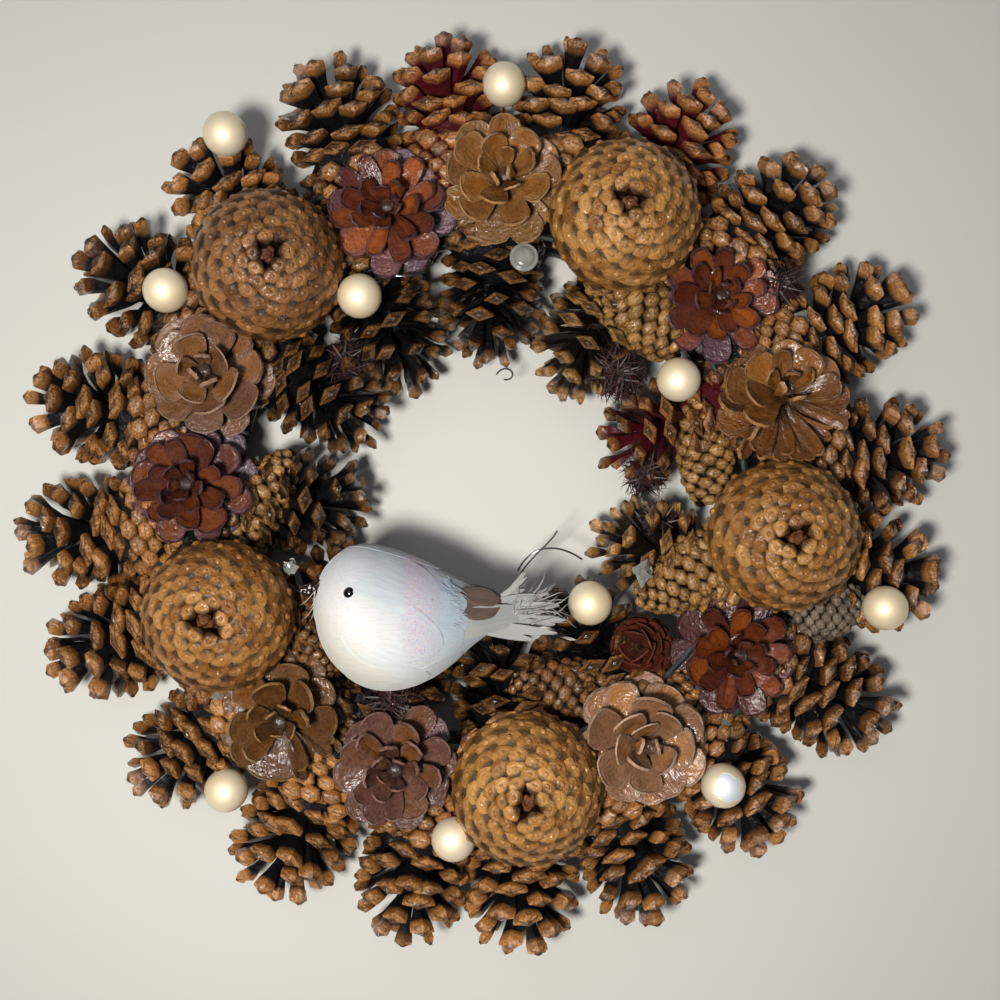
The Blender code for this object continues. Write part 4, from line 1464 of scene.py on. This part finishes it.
beak = join("bird_open_beak", [half_beak(1, 9.6, -9), half_beak(-1, 7.8, 14)], horn, smooth_angle=50)
settle(beak, "beak_plastic", "bird_beak")
measure(beak)

# %% Model the eyes
EYE_RADIUS = 2.3 * MM
EYE_ALONG = -14.7                   # millimetres from the middle of the body
EYE_ANGLE = 70                      # degrees from its side

eyes = []
for angle in (EYE_ANGLE, -EYE_ANGLE):
    seat_of_eye, normal = bird_point(EYE_ALONG, angle)
    normal = (normal + Vector((-0.25, 0, 0))).normalized()
    eye = start_piece("eye", bpy.ops.mesh.primitive_uv_sphere_add, segments=20, ring_count=12,
                      radius=EYE_RADIUS)
    shift(lambda p: p.z < -0.5 * MM, resize=(0.9, 0.9, 0.4))
    deselect()
    turn = matrix_of(*frame_about(normal), normal)
    eye.data.transform(Matrix.Translation(seat_of_eye + normal * (0.1 * MM)) @ turn)
    eyes.append(eye)
eyes = join("bird_glass_eyes", eyes, glass, smooth_angle=70)
settle(eyes, "beak_plastic")
measure(eyes)

# %% [markdown]
# ## Small cones in the gaps
# The gaps between the big cones are packed with whatever was left over: little shut cones
# lying on their side, dark bristly seed heads, one red larch cone and a weathered grey one.
# The shut cones grow with the same helper as the shut part of the ring cones, only with
# stops that close again at the tip.

# %% Grow the small shut cones
GREY_SCALE = scale_material("weathered_cone_scale", "1E1A17", "463A2F", "857462", "A09080", coat=0.3)
SMALL_REACH = ((0, 0.35), (0.15, 0.8), (0.4, 1.0), (0.7, 0.84), (0.9, 0.5), (1.0, 0.2))
BODY_LENGTH, BODY_RADIUS = 46, 15.5     # of the shut cone's body, in millimetres


def small_cone(name, place, heading, rise, length, radius, scale_size, material):
    """Little shut cone, lying with its tip along a heading and a rise above level."""
    axis = fan(heading, rise)
    start = from_middle(*place) - axis * (length * 0.5 * MM)
    stops = [(share * length, width * radius) for share, width in SMALL_REACH]
    sizes = ((0, scale_size), (0.6 * length, scale_size * 1.25), (length, scale_size * 0.8))
    pieces = shut_part(start, axis, 1.0, 1.0, rng.uniform(0, 6), 0.5, stops, sizes)
    first, second = frame_about(axis)
    girth = 0.72 * radius / BODY_RADIUS
    inside = matrix_of(first * girth, second * girth, axis * length / BODY_LENGTH)
    pieces.append(copy_of(shut_body, Matrix.Translation(start) @ inside, 0.1))
    made = join(name, pieces, material, smooth_angle=44)
    settle(made, None)
    measure(made)


# Place from the middle of the ring and height, heading, rise, length, radius, scale, finish
SMALL_CONES = (
    ((82, 18, 27), 92, 0, 46, 9.5, 4.6, GOLDEN_SCALE),
    ((56, 67, 30), 140, 4, 46, 12.0, 4.8, GOLDEN_SCALE),
    ((76, -31, 30), 208, 0, 44, 12.5, 4.6, GOLDEN_SCALE),
    ((-84, -4, 26), 60, 0, 42, 9.5, 4.6, GOLDEN_SCALE),
    ((30, -74, 26), 176, 2, 48, 10.0, 4.4, SHADE_PAINTED_SCALE),
    ((-66, -56, 28), 300, 5, 34, 10.5, 3.6, SHADE_PAINTED_SCALE),
    ((-38, 86, 24), 20, 0, 40, 10.0, 4.6, SHADE_PAINTED_SCALE),
    ((70, -84, 26), 250, 0, 38, 10.0, 4.4, BLACK_SCALE),
    ((126, -44, 26), 12, 3, 32, 12.0, 3.4, GREY_SCALE),
)
for number, settings in enumerate(SMALL_CONES, 1):
    small_cone(f"small_shut_cone_{number:02d}", *settings)

# %% [markdown]
# ## Bristly seed heads and the larch cone
# A bristly head is a small ball covered with stiff dark hairs, which are the bird's loose
# barb again in another colour. The larch cone has thin round scales like small petals.

# %% Bristle
# Dry bristle is dark with a low sheen and bleaches towards its tip
bristle, tree = new_material("dark_seed_head_bristle", roughness=0.5, coat_weight=0.3)
place = add_node(tree, "Attribute", take="Vector", attribute_name="place")
along = add_node(tree, "SeparateXYZ", [place], take="Y")
tone = add_node(tree, "Attribute", take="Fac", attribute_name="tone")
pale = add_node(tree, "MapRange", [along, 0.75, 1.0, 0, 0.5])
tint = "150D0E"
for mask, over in ((tone, "3E2422"), (pale, "6B5648")):
    tint = add_node(tree, "Mix", {FACTOR: mask, COLOUR_A: tint, COLOUR_B: over}, data_type="RGBA")
feed(bristle, base_color=tint)


# %% Grow the seed heads
def seed_head(name, place, radius, bristles):
    """Ball of bristles in golden-angle order, none of them on its underside."""
    middle = from_middle(*place)
    ball = Matrix.Diagonal((radius * 0.75, radius * 0.75, radius * 0.75, 1))
    pieces = [copy_of(dome, Matrix.Translation(middle) @ ball, 0.1)]
    for index in range(bristles):
        level = 1 - 1.5 * (index + 0.5) / bristles
        angle = index * GOLDEN_ANGLE
        wide = math.sqrt(1 - level ** 2)
        out = Vector((math.cos(angle) * wide, math.sin(angle) * wide, level)) + jitter(0.22)
        root = middle + out.normalized() * (radius * 0.62 * MM)
        matrix = seat(root, out, jitter(1), 2.4, 0.036 * radius * rng.uniform(0.8, 1.3), 2.4)
        pieces.append(copy_of(barb, matrix, rng.uniform(0, 1)))
    settle(join(name, pieces, bristle, smooth_angle=60), None)


# Place from the middle of the ring and height, radius, number of bristles
SEED_HEADS = (
    ((49, 43, 30), 10.0, 240), ((-34, -77, 34), 10.0, 240), ((-52, 48, 26), 8.0, 180),
    ((108, 75, 34), 8.0, 180), ((60, 6, 24), 8.0, 180), ((66, -12, 22), 7.0, 150),
)
for number, settings in enumerate(SEED_HEADS, 1):
    seed_head(f"bristly_seed_head_{number}", *settings)

# %% Grow the larch cone
LARCH_SCALES = 34
LARCH_SPREAD = ((0, 82), (0.6, 60), (1, 30))
LARCH_REACH = ((0, 4.5), (0.5, 4.0), (1, 0.8))
larch = petal_material("varnished_larch_scale", "451B10", "62301F", "5C2A1A", "3E1810", "5E3224", "4A2016")
middle = from_middle(57, -58, 32)
axis = Vector((-0.35, 0.15, 0.9)).normalized()
first, second = frame_about(axis)
pieces = []
for index in range(LARCH_SCALES):
    t = index / (LARCH_SCALES - 1)
    spoke = spoke_at(first, second, index * GOLDEN_ANGLE)
    out, up = leaning(axis, spoke, between(LARCH_SPREAD, t))
    root = middle + axis * ((-8 + 14 * t) * MM) + spoke * (between(LARCH_REACH, t) * MM)
    pieces.append(copy_of(broad_petal, seat(root, out, up, 0.74, 0.50, 0.6), random_tone(0.5), 0.7))
settle(join("larch_cone", pieces, larch, smooth_angle=62), None)
print(len(SEED_HEADS), "seed heads and a larch cone of", LARCH_SCALES, "scales")

# %% [markdown]
# ## Hot-melt glue
# Everything is held by hot-melt glue, and some of it squeezed out into clear grey lumps.
# A lump is a sphere pressed flat, with a few points pulled out. The largest one was pressed
# with a fingertip, which left a ring, so it is inset twice and rounded.

# %% Model the glue
# Hot-melt glue is cloudy: light goes in and comes out greyed
glue = clouded("clear_hot_melt_glue", 3, 2, "8E938C", "B9BAB0", roughness=0.18, transmission_weight=0.55,
               coat_weight=0.4, ior=1.48)

PULLS = 14                          # times that a few points are pulled out of a lump


def glue_lump(place, radius, flat, pressed=False):
    """Flattened sphere with some points pulled out; a pressed one gets a ring on top."""
    lump = start_piece("glue_lump", bpy.ops.mesh.primitive_uv_sphere_add, segments=9, ring_count=6,
                       radius=radius * MM)
    shift(lambda p: True, resize=(1, 1, flat), about=(0, 0, 0))
    if pressed:
        pick(lambda f: f.normal.z > 0.9)
        for sink in (-0.16, 0.14):
            bpy.ops.mesh.inset(thickness=0.12 * radius * MM)
            bpy.ops.transform.translate(value=(0, 0, sink * radius * MM))
        apply_modifier(lump, "SUBSURF", levels=1, render_levels=1)
    else:
        for _ in range(PULLS):
            shift(lambda p: rng.random() < 0.12)
            bpy.ops.transform.translate(value=[rng.uniform(-0.45, 0.45) * radius * MM for _ in range(3)])
    deselect()
    lump.data.transform(Matrix.Translation(from_middle(*place)))
    return lump


GLUE_LUMPS = (
    ((14, 84, 41), 6.0, 0.30, True), ((56, -30, 43), 3.6, 0.6), ((-128, -21, 30), 4.8, 0.5),
    ((-133, -19, 29), 3.6, 0.5), ((116, 61, 34), 4.4, 0.5), ((-96, -72, 38), 3.6, 0.5),
    ((42, -82, 34), 3.6, 0.5), ((-69, -28, 50), 2.4, 0.6), ((88, -88, 34), 3.8, 0.5),
)
lumps = join("hot_melt_glue", [glue_lump(*settings) for settings in GLUE_LUMPS], glue, smooth_angle=60)
settle(lumps, None)
measure(lumps)

# %% [markdown]
# ## Putting the patterns away
# The scales, petals and vanes that everything was copied from still lie at the origin. They
# are no part of the wreath, so they are taken out.

# %% Put the patterns away
for piece in (scale_flat, scale_curled, scale_shut, core, shut_body, bead, dome, broad_petal, slim_petal,
              stub, broad_vane, slim_vane, barb):
    bpy.data.objects.remove(piece)
